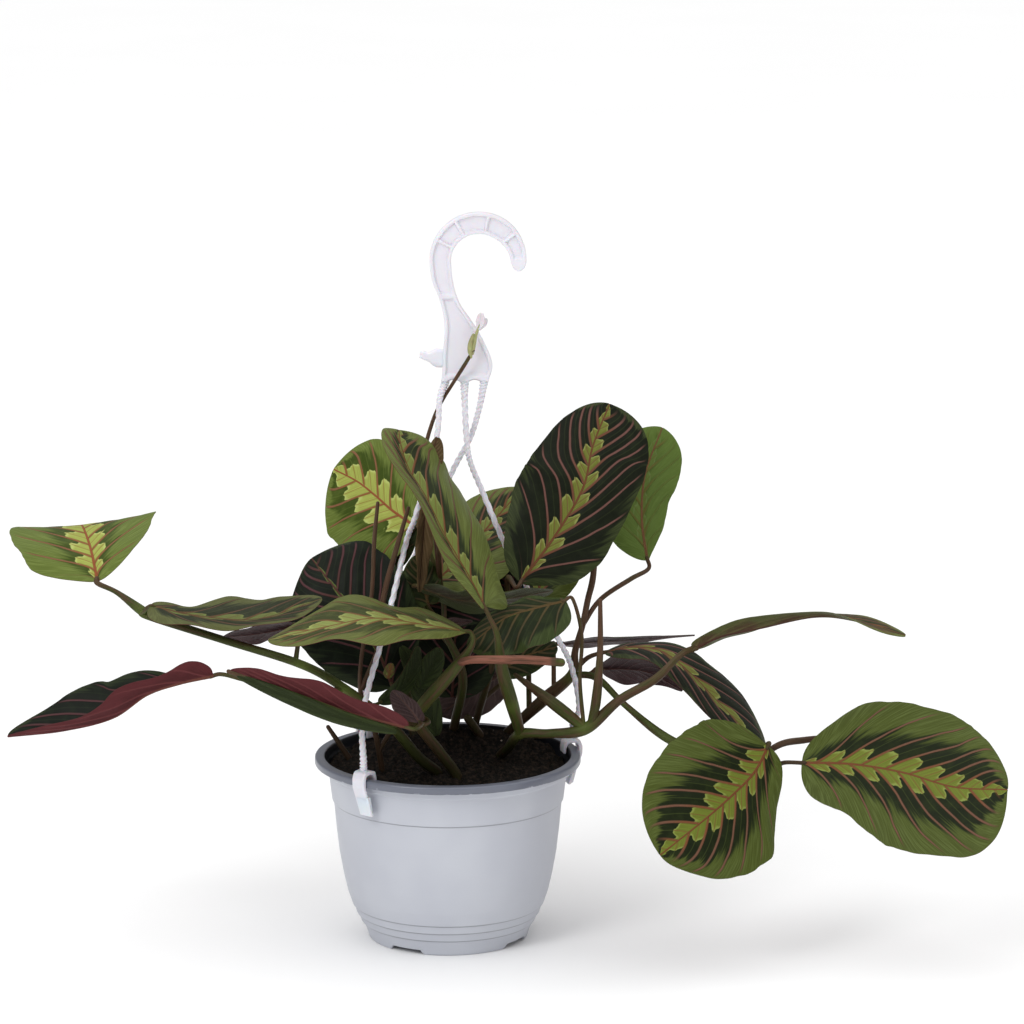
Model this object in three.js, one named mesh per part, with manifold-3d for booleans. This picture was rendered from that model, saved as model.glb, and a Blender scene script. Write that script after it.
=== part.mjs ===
// A prayer plant (Maranta) in a round plastic hanging pot, with its clip-on hanger.
// Millimetres, +Z up. The origin is the centre of the pot's base on the surface it stands on.
// The front of the pot looks along -Y. Leaves and stems are placed by hand-chosen points.

import * as THREE from 'three';
import { mergeVertices } from 'three/addons/utils/BufferGeometryUtils.js';
import Module from 'manifold-3d';

const wasm = await Module();
wasm.setup();

// Pot
const potSides = 32;
const rimRadius = 75;
const rimTop = 105;
const rimDrop = 4.4;
const rimInner = 69.4;
const footRadius = 45;
const footInner = 42.5;
const baseUnderside = 3.6;
const baseTop = 5.8;
const hubRadius = 10;
const drainRadius = 4;
const drainCircle = 27;
const drainCount = 6;
const notchCount = 4;
const notchWidth = 20;
const notchHeight = 2.8;
const notchTurn = 59;

// Soil
const soilLevel = 91;
const soilClear = 0.5;
const soilBottom = 6.2;
const lumpHeight = 2.2;
const holeFloor = 70;
const rootHeights = [70.5, 84, 93, 98];
const holeClear = 0.6;

// Hanger: a flat hook plate and three cord-like legs, each ending in a clip over the rim
const hookCentre = [17.9, 385.4];
const hookOuter = 27.4;
const hookInner = 15.4;
const hookTipAngle = -14;
const plateThickness = 5;
const pocketDepth = 1.6;
const clipWidth = 7;
const clipSeat = 72.8;
const clipGap = 0.4;
const clipBottom = 83.5;

// Foliage
const bladeThickness = 0.8;
const bladeEndHalf = 0.9;
const bladeSteps = 7;
const bladeColumns = 6;
const petioleGap = 0.75;
const stemSides = 6;

const bloomPlace = [13.6, -8, 337.4];

const colours = {
  potOuter: 0xc9ccd3,
  soil: 0x2a221d,
  hanger: 0xeceef3,
  leafTop: 0x4c6a2f,
  leafShaded: 0x6a2334,
  stem: 0x6b6a34,
  stalk: 0x6d5237,
  petal: 0xd8cbe0,
};

// Leaves that show their wine-red underside to the front
const underShown = ['leaf_left_twisted', 'leaf_left_rolled', 'leaf_left_shaded', 'leaf_right_folded',
  'leaf_right_burgundy', 'leaf_low_purple', 'leaf_purple_sheath', 'leaf_dry_bract'];

const model = new THREE.Group();

function addMesh(name, geometry, colour, roughness) {
  const material = new THREE.MeshStandardMaterial({ color: colour, roughness, metalness: 0 });
  const mesh = new THREE.Mesh(geometry, material);
  mesh.name = name;
  model.add(mesh);
  return mesh;
}

// Closed mesh to solid and back

function solidFrom(geometry) {
  const bare = geometry.clone();
  for (const key of Object.keys(bare.attributes)) {
    if (key !== 'position') bare.deleteAttribute(key);
  }
  const merged = mergeVertices(bare, 1e-4);
  const vertProperties = new Float32Array(merged.attributes.position.array);
  const triVerts = new Uint32Array(merged.index.array);
  return new wasm.Manifold(new wasm.Mesh({ numProp: 3, vertProperties, triVerts }));
}

function geometryFrom(solid) {
  const mesh = solid.getMesh();
  const geometry = new THREE.BufferGeometry();
  geometry.setAttribute('position', new THREE.BufferAttribute(mesh.vertProperties, 3));
  geometry.setIndex(new THREE.BufferAttribute(mesh.triVerts, 1));
  geometry.computeVertexNormals();
  return geometry;
}

function fuse(geometries) {
  return geometryFrom(geometries.map(solidFrom).reduce((sum, solid) => sum.add(solid)));
}

// A smooth curve through a list of numbers or of points, read at s from 0 to 1
function smooth(list, s) {
  if (list.length === 1) return list[0];
  const last = list.length - 1;
  const place = Math.min(Math.max(s, 0), 1) * last;
  const i = Math.min(Math.floor(place), last - 1);
  const f = place - i;
  const wide = typeof list[0] === 'number' ? list.map((value) => [value]) : list;
  const mirror = (a, b) => a.map((value, k) => 2 * value - b[k]);
  const before = i > 0 ? wide[i - 1] : mirror(wide[0], wide[1]);
  const after = i < last - 1 ? wide[i + 2] : mirror(wide[last], wide[last - 1]);
  const point = wide[i].map((b, k) => {
    const c = wide[i + 1][k];
    const start = (c - before[k]) / 2;
    const end = (after[k] - b) / 2;
    return (2 * b - 2 * c + start + end) * f ** 3 + (3 * c - 3 * b - 2 * start - end) * f ** 2
      + start * f + b;
  });
  return typeof list[0] === 'number' ? point[0] : point;
}

function vector(list) {
  return new THREE.Vector3(list[0], list[1], list[2]);
}

// Leaves. A blade follows its midrib from the petiole joint to the tip. At each place along it the
// section is two arcs, left and right of the rib, each with a fold at the rib and a curl outwards.

const bladeDefaults = {
  left: [26],
  right: [26],
  foldLeft: [4],
  foldRight: [4],
  curlLeft: [-14],
  curlRight: [-14],
  peak: 0.45,
  round: 0.6,
  lobeLeft: 6,
  lobeRight: 6,
  wave: 1.6,
  waves: 2.5,
  phase: 0,
};

const blades = {
  leaf_top_large: {
    rib: [[42, 2, 204], [61, 6, 229], [73, 12, 258], [82, 22, 283], [90, 34, 300]],
    face: [[0, -0.95, 0.3]],
    left: [42, 32, 22],
    right: [30, 33, 44],
    peak: 0.5,
    waves: 1.5,
  },
  leaf_top_pale: {
    rib: [[113, 40, 208], [110, 48, 230], [112, 58, 254], [122, 70, 279]],
    face: [[0.2, -0.9, 0.35]],
    left: [26],
    right: [18, 20, 26],
    peak: 0.55,
    phase: 0.4,
  },
  leaf_back_lime: {
    rib: [[-13, 30, 228], [-30, 46, 238], [-51, 67, 246], [-71, 88, 253]],
    face: [[-0.5, -0.7, 0.45]],
    left: [31],
    right: [32, 30, 27],
    phase: 0.2,
  },
  leaf_front_arching: {
    rib: [[21, -52, 205], [0, -50, 236], [-13, -44, 264], [-22, -32, 284], [-26, -18, 296]],
    face: [[0.75, -0.45, 0.48]],
    left: [26],
    right: [27],
    foldLeft: [20],
    foldRight: [12],
    round: 0.5,
    lobeRight: 34,
    waves: 1.5,
  },
  leaf_left_dark: {
    rib: [[-31, -4, 145], [-40, 0, 166], [-54, 6, 187], [-67, 14, 202], [-77, 26, 212]],
    face: [[-0.15, -0.8, 0.55]],
    left: [31, 27, 24],
    right: [30, 33, 42],
    round: 0.54,
    phase: 0.6,
  },
  leaf_far_left_low: {
    rib: [[-164, -26, 196], [-137, -30, 191], [-104, -32, 190], [-69, -30, 201]],
    face: [[0, -0.12, 1]],
    left: [26],
    right: [20],
    foldLeft: [14],
    phase: 0.1,
  },
  leaf_left_bright: {
    rib: [[10, -54, 188], [-15, -62, 194], [-39, -66, 198], [-64, -68, 194], [-97, -66, 186]],
    face: [[0, -0.12, 0.99]],
    left: [27],
    right: [27],
    phase: 0.5,
  },
  leaf_far_left_tip: {
    rib: [[-195, -10, 207], [-200, 8, 221], [-207, 34, 229], [-213, 72, 219]],
    face: [[-0.1, -0.8, 0.55], [-0.1, -0.5, 0.84], [-0.12, 0.2, 1]],
    left: [42],
    right: [34, 36, 38],
    foldLeft: [0],
    foldRight: [0],
    curlLeft: [6],
    curlRight: [4],
    peak: 0.5,
    wave: 1.2,
  },
  leaf_left_twisted: {
    rib: [[-129, -46, 161], [-147, -50, 158], [-165, -52, 152], [-184, -53, 138], [-211, -50, 131],
      [-243, -44, 126]],
    face: [[0, 0.1, 1], [0, -0.3, 0.95]],
    left: [15, 17, 18],
    right: [16, 22, 24],
    foldLeft: [85, 65, 55],
    foldRight: [10, 40, 50],
    curlLeft: [25],
  },
  leaf_left_rolled: {
    rib: [[-24, -76, 140], [-57, -76, 146], [-88, -72, 155], [-118, -66, 164]],
    face: [[0, 0, 1]],
    left: [20],
    right: [16],
    foldLeft: [60],
    foldRight: [15],
    curlLeft: [30],
  },
  leaf_centre_under: {
    rib: [[-14, 9, 199], [7, 10, 192], [32, 8, 193], [59, 6, 198]],
    face: [[0, 0.45, 0.9]],
    left: [14, 22, 24],
    right: [24],
    phase: 0.7,
  },
  leaf_centre_green: {
    rib: [[-9, 36, 195], [7, 44, 208], [24, 54, 226], [42, 60, 245]],
    face: [[-0.2, -0.6, 0.78]],
    left: [28],
    right: [28],
    phase: 0.3,
  },
  leaf_centre_dark: {
    rib: [[68, -20, 198], [48, -24, 192], [29, -26, 182], [10, -26, 167]],
    face: [[-0.1, -0.7, 0.7]],
    left: [24],
    right: [14],
  },
  leaf_right_folded: {
    rib: [[69, 50, 160], [91, 52, 159], [112, 54, 158], [131, 56, 157]],
    face: [[0, 0.1, 1]],
    left: [14],
    right: [14],
    wave: 0.6,
  },
  leaf_right_drooping: {
    rib: [[91, 14, 161], [111, 10, 163], [131, 4, 157], [149, -4, 140], [164, -10, 124],
      [179, -16, 110]],
    face: [[0, -0.25, 0.97], [0.3, -0.3, 0.9], [0.7, -0.3, 0.65]],
    left: [10, 17, 38],
    right: [14, 24, 30],
    wave: 1,
  },
  leaf_right_burgundy: {
    rib: [[92, 30, 144], [107, 28, 145], [122, 25, 143], [135, 22, 138]],
    face: [[0, 0.42, 0.9]],
    left: [20],
    right: [16],
    wave: 0.8,
  },
  leaf_low_right_round: {
    rib: [[178, -38, 118], [169, -50, 106], [154, -66, 94], [134, -84, 83], [113, -100, 74]],
    face: [[0.42, -0.74, 0.42]],
    left: [28, 36, 36],
    right: [48, 45, 40],
    peak: 0.5,
    round: 0.48,
    lobeLeft: 3,
    lobeRight: 12,
    waves: 1.5,
  },
  leaf_low_right_large: {
    rib: [[197, -40, 109], [224, -46, 111], [251, -54, 109], [278, -64, 99], [312, -77, 88]],
    face: [[0.05, -0.75, 0.65]],
    left: [45],
    right: [44],
    peak: 0.54,
    round: 0.5,
    waves: 1.5,
    phase: 0.5,
  },
  leaf_right_reaching: {
    rib: [[141, -14, 168], [163, -20, 175], [188, -26, 182], [207, -30, 190], [232, -34, 190],
      [254, -36, 183]],
    face: [[0, 0.3, 0.95], [0, 0.1, 1], [0, -0.3, 0.95]],
    left: [12, 13, 12],
    right: [7, 14, 12],
    foldRight: [40, 45, 5],
    wave: 0.8,
  },
  leaf_low_purple: {
    rib: [[29, 62, 136], [13, 64, 125], [-6, 64, 112]],
    face: [[0.2, 0.8, 0.5]],
    left: [16],
    right: [16],
    wave: 0.8,
  },
  leaf_narrow_curved: {
    rib: [[-38, -22, 140], [-27, -24, 147], [-19, -26, 160], [-16, -26, 173]],
    face: [[0.5, -0.8, 0.3]],
    left: [4],
    right: [4],
    wave: 0.3,
    lobeLeft: 0,
    lobeRight: 0,
  },
  leaf_purple_sheath: {
    rib: [[-11, -57, 140], [-18, -60, 150], [-26, -62, 160]],
    face: [[0.5, 0.8, 0.4]],
    left: [8],
    right: [8],
    wave: 0.4,
    lobeLeft: 1,
    lobeRight: 1,
  },
  leaf_left_shaded: {
    rib: [[-88, -5, 180], [-105, -9, 177], [-125, -11, 175]],
    face: [[0, 0.5, 0.85]],
    left: [13],
    right: [13],
    wave: 0.6,
  },
  leaf_dry_bract: {
    rib: [[-9, -12, 268], [-7, -13, 278], [-4, -14, 288]],
    face: [[0.4, 0.8, 0.2]],
    left: [3.4],
    right: [3.4],
    curlLeft: [60],
    curlRight: [60],
    wave: 0.2,
    lobeLeft: 0,
    lobeRight: 0,
  },
  leaf_withered: {
    rib: [[-12, 8, 240], [-18, 5, 222], [-21, 2, 200]],
    face: [[0.3, -0.9, 0.1]],
    left: [7],
    right: [7],
    foldLeft: [35],
    foldRight: [35],
    wave: 0.8,
    lobeLeft: 1,
    lobeRight: 1,
  },
  leaf_rear_left: {
    rib: [[-38, 62, 168], [-46, 86, 184], [-54, 112, 188], [-60, 140, 180]],
    face: [[-0.1, -0.3, 0.95], [0, 0, 1], [0, 0.4, 0.9]],
    left: [24],
    right: [24],
    phase: 0.4,
  },
  leaf_rear_centre: {
    rib: [[0, 72, 200], [4, 96, 214], [8, 124, 214], [12, 150, 202]],
    face: [[0, -0.4, 0.92], [0, 0, 1], [0, 0.5, 0.87]],
    left: [25],
    right: [25],
    phase: 0.8,
  },
  leaf_rear_right: {
    rib: [[50, 60, 178], [55, 84, 197], [60, 112, 204], [64, 138, 198]],
    face: [[0.1, -0.5, 0.85], [0, 0, 1], [0, 0.4, 0.9]],
    left: [24],
    right: [24],
    phase: 0.1,
  },
};

// The outline's half width over its greatest one, at s along the rib
function outline(blade, s) {
  const stretch = Math.log(0.5) / Math.log(blade.peak);
  return Math.max(Math.sin(Math.PI * s ** stretch), 0) ** blade.round;
}

function bladeFrame(blade, s) {
  const step = 1e-3;
  const ahead = vector(smooth(blade.rib, Math.min(s + step, 1)));
  const behind = vector(smooth(blade.rib, Math.max(s - step, 0)));
  const along = ahead.sub(behind).normalize();
  const across = along.clone().cross(vector(smooth(blade.face, s))).normalize();
  const up = across.clone().cross(along);
  return { origin: vector(smooth(blade.rib, s)), along, across, up };
}

// The point of a blade's middle surface at s along the rib and t across it, from -1 to 1
function bladePoint(blade, s, t) {
  const { origin, along, across, up } = bladeFrame(blade, s);
  const onRight = t >= 0;
  const sign = onRight ? 1 : -1;
  const reach = Math.abs(t);
  const half = smooth(onRight ? blade.right : blade.left, s) * outline(blade, s) + bladeEndHalf;
  const fold = THREE.MathUtils.degToRad(smooth(onRight ? blade.foldRight : blade.foldLeft, s));
  const curlDegrees = smooth(onRight ? blade.curlRight : blade.curlLeft, s);
  const curl = THREE.MathUtils.degToRad(Math.abs(curlDegrees) < 0.5 ? 0.5 : curlDegrees);
  const sideways = half * (Math.sin(fold + curl * reach) - Math.sin(fold)) / curl;
  const ripple = blade.wave * reach ** 3 * Math.sin(Math.PI * s)
    * Math.sin(2 * Math.PI * (blade.waves * s + blade.phase + (onRight ? 0.37 : 0)));
  const lift = half * (Math.cos(fold) - Math.cos(fold + curl * reach)) / curl + ripple;
  const lobe = onRight ? blade.lobeRight : blade.lobeLeft;
  const back = lobe * reach ** 2 * outline(blade, s) * (1 - s) ** 4;
  return origin.addScaledVector(across, sign * sideways).addScaledVector(up, lift)
    .addScaledVector(along, -back);
}

// A blade as a thin closed solid, with the same triangles on its upper and its lower face
function bladeGeometry(blade) {
  const rows = bladeSteps + 1;
  const columns = bladeColumns + 1;
  const at = (i, j) => bladePoint(blade, (1 - Math.cos(Math.PI * i / bladeSteps)) / 2,
    2 * j / bladeColumns - 1);
  const middle = [];
  for (let i = 0; i < rows; i += 1) {
    for (let j = 0; j < columns; j += 1) middle.push(at(i, j));
  }
  const positions = [];
  for (const side of [1, -1]) {
    for (let i = 0; i < rows; i += 1) {
      for (let j = 0; j < columns; j += 1) {
        const near = (a, b) => middle[Math.min(Math.max(a, 0), rows - 1) * columns
          + Math.min(Math.max(b, 0), columns - 1)];
        const along = near(i + 1, j).clone().sub(near(i - 1, j));
        const across = near(i, j + 1).clone().sub(near(i, j - 1));
        const normal = across.cross(along).normalize();
        const point = near(i, j).clone().addScaledVector(normal, side * bladeThickness / 2);
        positions.push(point.x, point.y, point.z);
      }
    }
  }
  const index = [];
  const lower = rows * columns;
  const quad = (a, b, c, d) => index.push(a, b, c, a, c, d);
  for (let i = 0; i < bladeSteps; i += 1) {
    for (let j = 0; j < bladeColumns; j += 1) {
      const a = i * columns + j;
      quad(a, a + 1, a + columns + 1, a + columns);
      index.push(lower + a, lower + a + columns + 1, lower + a + 1);
      index.push(lower + a, lower + a + columns, lower + a + columns + 1);
    }
    const first = i * columns;
    const last = first + bladeColumns;
    quad(first, first + columns, lower + first + columns, lower + first);
    quad(last, lower + last, lower + last + columns, last + columns);
  }
  const tip = bladeSteps * columns;
  for (let j = 0; j < bladeColumns; j += 1) {
    quad(j, lower + j, lower + j + 1, j + 1);
    quad(tip + j, tip + j + 1, lower + tip + j + 1, lower + tip + j);
  }
  const geometry = new THREE.BufferGeometry();
  geometry.setAttribute('position', new THREE.Float32BufferAttribute(positions, 3));
  geometry.setIndex(index);
  geometry.computeVertexNormals();
  return geometry;
}

// Stems. A branch is a list of [x, y, z, radius], and may run on to a blade's petiole joint.

function petioleEnd(name) {
  const blade = blades[name];
  const { origin, along } = bladeFrame(blade, 0);
  return origin.addScaledVector(along, -petioleGap);
}

function petioleApproach(name, distance) {
  const blade = blades[name];
  const { origin, along } = bladeFrame(blade, 0);
  return origin.addScaledVector(along, -distance);
}

function branchPoints({ points, leaf, run = 9, end = 1.2 }) {
  if (!leaf) return points;
  const approach = petioleApproach(leaf, run);
  const joint = petioleEnd(leaf);
  return [...points, [...approach.toArray(), end], [...joint.toArray(), end]];
}

// A closed tube of changing radius: a capped cylinder whose rings are carried along the curve
function tubeGeometry(points, sides = stemSides) {
  const steps = Math.max(2, 2 * (points.length - 1));
  const tube = new THREE.CylinderGeometry(1, 1, 1, sides, steps);
  const frames = [];
  let across = new THREE.Vector3(1, 0, 0);
  for (let i = 0; i <= steps; i += 1) {
    const s = i / steps;
    const place = smooth(points, s);
    const ahead = vector(smooth(points, Math.min(s + 1e-3, 1)));
    const along = ahead.sub(vector(smooth(points, Math.max(s - 1e-3, 0)))).normalize();
    if (Math.abs(across.dot(along)) > 0.98) across = new THREE.Vector3(0, 1, 0);
    across = across.clone().addScaledVector(along, -across.dot(along)).normalize();
    frames.push({ centre: vector(place), along, across, radius: place[3] });
  }
  const position = tube.attributes.position;
  for (let k = 0; k < position.count; k += 1) {
    const ring = Math.round((position.getY(k) + 0.5) * steps);
    const { centre, along, across: side, radius } = frames[ring];
    const other = along.clone().cross(side);
    const point = centre.clone().addScaledVector(side, position.getX(k) * radius)
      .addScaledVector(other, -position.getZ(k) * radius);
    position.setXYZ(k, point.x, point.y, point.z);
  }
  tube.computeVertexNormals();
  return tube;
}

const shoots = {
  shoot_far_left: {
    root: [-6, -14, 3],
    branches: [
      { points: [[-16, -20, 108, 3], [-33, -30, 131, 2.8], [-56, -36, 151, 2.6],
        [-80, -32, 164, 2.4], [-123, -24, 176, 2.2], [-164, -18, 188, 2.4], [-171, -16, 192, 3],
        [-182, -14, 199, 1.5]], leaf: 'leaf_far_left_tip' },
      { points: [[-56, -36, 151, 1.6], [-86, -50, 153, 1.4], [-112, -50, 160, 1.2]],
        leaf: 'leaf_left_twisted', run: 5 },
      { points: [[-84, -31, 165, 1.5], [-83, -14, 176, 1.2]], leaf: 'leaf_left_shaded', run: 3 },
      { points: [[-168, -17, 190, 2], [-169, -23, 195, 1.4]], leaf: 'leaf_far_left_low', run: 2 },
    ],
  },
  shoot_left: {
    root: [5, -20, 3],
    branches: [
      { points: [[-4, -25, 112, 3], [-18, -34, 134, 3], [-14, -44, 143, 3.6],
        [2, -54, 164, 3], [14, -54, 180, 1.8]], leaf: 'leaf_left_bright', run: 4 },
      { points: [[-17, -36, 134, 1.8], [-14, -60, 137, 1.6]], leaf: 'leaf_left_rolled', run: 4 },
      { points: [[6, -54, 170, 2.2], [14, -62, 174, 2.2], [30, -66, 175, 2.4], [46, -66, 175, 2.4],
        [63, -64, 173, 2.4]] },
      { points: [[-16, -38, 137, 1.6], [-10, -49, 136, 1.4]], leaf: 'leaf_purple_sheath', run: 2 },
    ],
  },
  shoot_centre: {
    root: [0, 45, 2.6],
    branches: [
      { points: [[4, 40, 115, 2.6], [8, 34, 142, 2.6], [-2, 30, 168, 2]],
        leaf: 'leaf_centre_green' },
      { points: [[4, 32, 156, 1.4], [-12, 32, 178, 1.4], [-20, 22, 195, 1.3]],
        leaf: 'leaf_centre_under', run: 3 },
      { points: [[-2, 30, 168, 1.6], [-4, 26, 196, 1.5]], leaf: 'leaf_back_lime', run: 6 },
      { points: [[-4, 26, 192, 1.4], [-4, 10, 225, 1.2], [-8, -8, 254, 1.1], [-6, -9, 285, 1.1],
        [0, -9, 313, 0.9], [14.9, -8, 336.9, 0.9]] },
      { points: [[-5, 24, 200, 1.1], [-8, 16, 236, 1.1]], leaf: 'leaf_withered', run: 4, end: 1 },
    ],
  },
  stalks_left: {
    root: [-37, -8, 1.8],
    branches: [
      { points: [[-41, -10, 121, 1.6], [-48, -12, 139, 1.4],
        [-48, -16, 163, 1.2], [-42, -22, 199, 1.2], [-40, -24, 233, 1.2], [-38, -24, 254, 1]] },
      { points: [[-48, -13, 146, 1.2], [-37, -24, 176, 1.3], [-35, -26, 201, 1.6],
        [-28, -28, 228, 1.5], [-21, -28, 252, 1]] },
      { points: [[-38, -9, 110, 1.4], [-29, -6, 126, 1.4]], leaf: 'leaf_left_dark', run: 6 },
      { points: [[-48, -12, 139, 1.2], [-44, -18, 138, 1.2]], leaf: 'leaf_narrow_curved', run: 2,
        end: 1 },
    ],
  },
  shoot_right: {
    root: [29, 20, 2.6],
    branches: [
      { points: [[34, 5, 107, 2.8], [41, -22, 122, 3], [57, -29, 124, 2.6],
        [77, -30, 127, 3.4], [96, -28, 143, 2.6], [116, -24, 154, 2.4]],
        leaf: 'leaf_right_reaching', end: 1.8 },
      { points: [[41, -22, 122, 2.6], [36, -38, 144, 3.2], [31, -52, 165, 3], [28, -54, 186, 1.8]],
        leaf: 'leaf_front_arching', run: 6 },
      { points: [[77, -30, 127, 2.8], [60, -26, 140, 2.6], [38, -14, 154, 1.6]] },
      { points: [[80, -30, 129, 2.2], [83, -32, 144, 2.8], [85, -34, 172, 1.8], [85, -34, 201, 1.2]] },
      { points: [[76, -30, 130, 1.2], [74, -26, 154, 1.1], [75, -20, 178, 1.1]],
        leaf: 'leaf_centre_dark', run: 4, end: 1 },
    ],
  },
  shoot_back_right: {
    root: [27, 49, 2.4],
    branches: [
      { points: [[42, 40, 115, 2.4], [70, 24, 145, 2.2], [72, 20, 160, 2],
        [76, 18, 175, 1.8], [79, 18, 190, 1.8], [82, 18, 204, 1.8], [84, 18, 232, 1]] },
      { points: [[76, 18, 175, 1.4], [86, 22, 189, 1.4], [103, 30, 199, 1.4]],
        leaf: 'leaf_top_pale', run: 5 },
      { points: [[70, 24, 145, 1.4], [78, 20, 155, 1.4]], leaf: 'leaf_right_drooping', run: 5 },
      { points: [[68, 25, 143, 1.4], [80, 30, 144, 1.3]], leaf: 'leaf_right_burgundy', run: 3 },
      { points: [[60, 30, 134, 1.4], [60, 46, 156, 1.3]], leaf: 'leaf_right_folded', run: 4 },
      { points: [[46, 38, 119, 1.6], [46, 52, 150, 1.5]], leaf: 'leaf_rear_right', run: 6 },
      { points: [[70, 24, 145, 2], [84, 12, 146, 2], [100, -4, 134, 1.8],
        [124, -18, 118, 2.6], [152, -26, 109, 1.6], [172, -30, 109, 2.2], [182, -29, 106, 1.6]],
        leaf: 'leaf_low_right_large' },
      { points: [[172, -30, 109, 1.6], [186, -26, 117, 1.6], [200, -20, 117, 1.6],
        [217, -16, 115, 1.2]] },
      { points: [[172, -30, 110, 1.5], [178, -31, 118, 1.3]], leaf: 'leaf_low_right_round', run: 2 },
    ],
  },
  shoot_top: {
    root: [12, 52, 2.2],
    branches: [
      { points: [[18, 50, 120, 2.2], [26, 44, 150, 2], [33, 40, 184, 1.6], [34, 26, 201, 1.5]],
        leaf: 'leaf_top_large', run: 4 },
      { points: [[19, 49, 124, 1.4], [34, 56, 136, 1.4]], leaf: 'leaf_low_purple', run: 3 },
    ],
  },
  shoot_rear: {
    root: [-18, 42, 2.4],
    branches: [
      { points: [[-22, 46, 112, 2.4], [-28, 52, 140, 2]], leaf: 'leaf_rear_left' },
      { points: [[-23, 47, 118, 1.8], [-18, 58, 150, 1.6], [-6, 62, 182, 1.5]],
        leaf: 'leaf_rear_centre' },
    ],
  },
};

function shootGeometry({ root, branches }) {
  const [x, y, radius] = root;
  return fuse(branches.map((branch, k) => {
    const points = branchPoints(branch);
    const start = k === 0 ? rootHeights.map((z) => [x, y, z, radius]) : [];
    return tubeGeometry([...start, ...points]);
  }));
}

// Pot

function lathe(profile, sides = potSides) {
  const points = profile.map(([radius, height]) => new THREE.Vector2(radius, height));
  return new THREE.LatheGeometry(points, sides).rotateX(Math.PI / 2);
}

const outerWall = [
  [footRadius, 0], [45.9, 3.4], [48.9, 8.4], [48.5, 9], [51.6, 13.4], [51.2, 14],
  [53.8, 18.6], [53.4, 19.2], [56.8, 27], [59.1, 37], [61.4, 50],
  [63, 64], [64.2, 76], [64.8, 76.6], [67.2, 95.6], [69, 96.4], [69.3, rimTop - rimDrop],
  [rimRadius, rimTop - rimDrop], [rimRadius, rimTop - 0.8], [rimRadius - 0.8, rimTop],
];
const innerWall = [
  [rimInner, rimTop], [rimInner - 0.6, 100], [65, 92], [62.4, 76], [59.6, 50],
  [57.2, 37], [54.8, 27], [51, 17], [45, baseTop],
];

function turnedAt(geometry, degrees) {
  return geometry.rotateZ(THREE.MathUtils.degToRad(degrees));
}

function pot() {
  const profile = [[0, 0], [hubRadius, 0], [hubRadius + 1, baseUnderside],
    [footInner - 0.8, baseUnderside], [footInner, 0], ...outerWall, ...innerWall, [0, baseTop]];
  let solid = solidFrom(lathe(profile));
  for (let k = 0; k < drainCount; k += 1) {
    const drain = new THREE.CylinderGeometry(drainRadius, drainRadius, 12, 10)
      .rotateX(Math.PI / 2).translate(drainCircle, 0, baseTop);
    solid = solid.subtract(solidFrom(turnedAt(drain, 30 + 360 * k / drainCount)));
  }
  for (let k = 0; k < notchCount; k += 1) {
    const notch = new THREE.BoxGeometry(12, notchWidth, 2 * notchHeight)
      .translate(footRadius - 1, 0, 0);
    solid = solid.subtract(solidFrom(turnedAt(notch, notchTurn + 360 * k / notchCount)));
  }
  return geometryFrom(solid);
}

// Soil: a plug inside the pot with a lumpy top and a plain hole for each stem

function lumps(x, y) {
  const broad = Math.sin(x * 0.061 + 1.1) * Math.cos(y * 0.083 + 0.4);
  const fine = Math.sin(x * 0.31 + y * 0.17) * Math.sin(y * 0.27 - x * 0.11 + 2);
  return lumpHeight * (0.6 * broad + 0.5 * fine) - x * 0.02 + y * 0.02;
}

const stubs = {
  stub_left: { root: [-56, 14, 1.8], tip: [-68, 14, 117, 1.2] },
  stub_centre: { root: [23, 38, 2.6], tip: [11, 34, 117, 2.4] },
};

function soil() {
  const wall = innerWall.filter(([, height]) => height < soilLevel - 4)
    .map(([radius, height]) => [radius - soilClear, height]).reverse();
  const topRadius = 64.5 - soilClear;
  const top = [[topRadius, soilLevel], [54, soilLevel], [43, soilLevel], [32, soilLevel],
    [21, soilLevel], [10, soilLevel], [0, soilLevel]];
  const plug = lathe([[0, soilBottom], [wall[0][0] - 0.4, soilBottom], ...wall.slice(1), ...top]);
  const position = plug.attributes.position;
  for (let k = 0; k < position.count; k += 1) {
    if (position.getZ(k) > soilLevel - 0.01) {
      const raised = soilLevel + lumps(position.getX(k), position.getY(k));
      position.setZ(k, raised);
    }
  }
  let solid = solidFrom(plug);
  const roots = [...Object.values(shoots), ...Object.values(stubs)].map(({ root }) => root);
  for (const [x, y, radius] of roots) {
    const wide = (radius + holeClear) / Math.cos(Math.PI / 8);
    const hole = new THREE.CylinderGeometry(wide, wide, 40, 8).rotateX(Math.PI / 2)
      .translate(x, y, holeFloor + 20);
    solid = solid.subtract(solidFrom(hole));
  }
  return geometryFrom(solid);
}

// Hanger

function plateSolid(shape, depth, front, curveSegments) {
  return new THREE.ExtrudeGeometry(shape, { depth, bevelEnabled: false, curveSegments })
    .rotateX(Math.PI / 2).translate(0, front + depth, 0);
}

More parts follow.
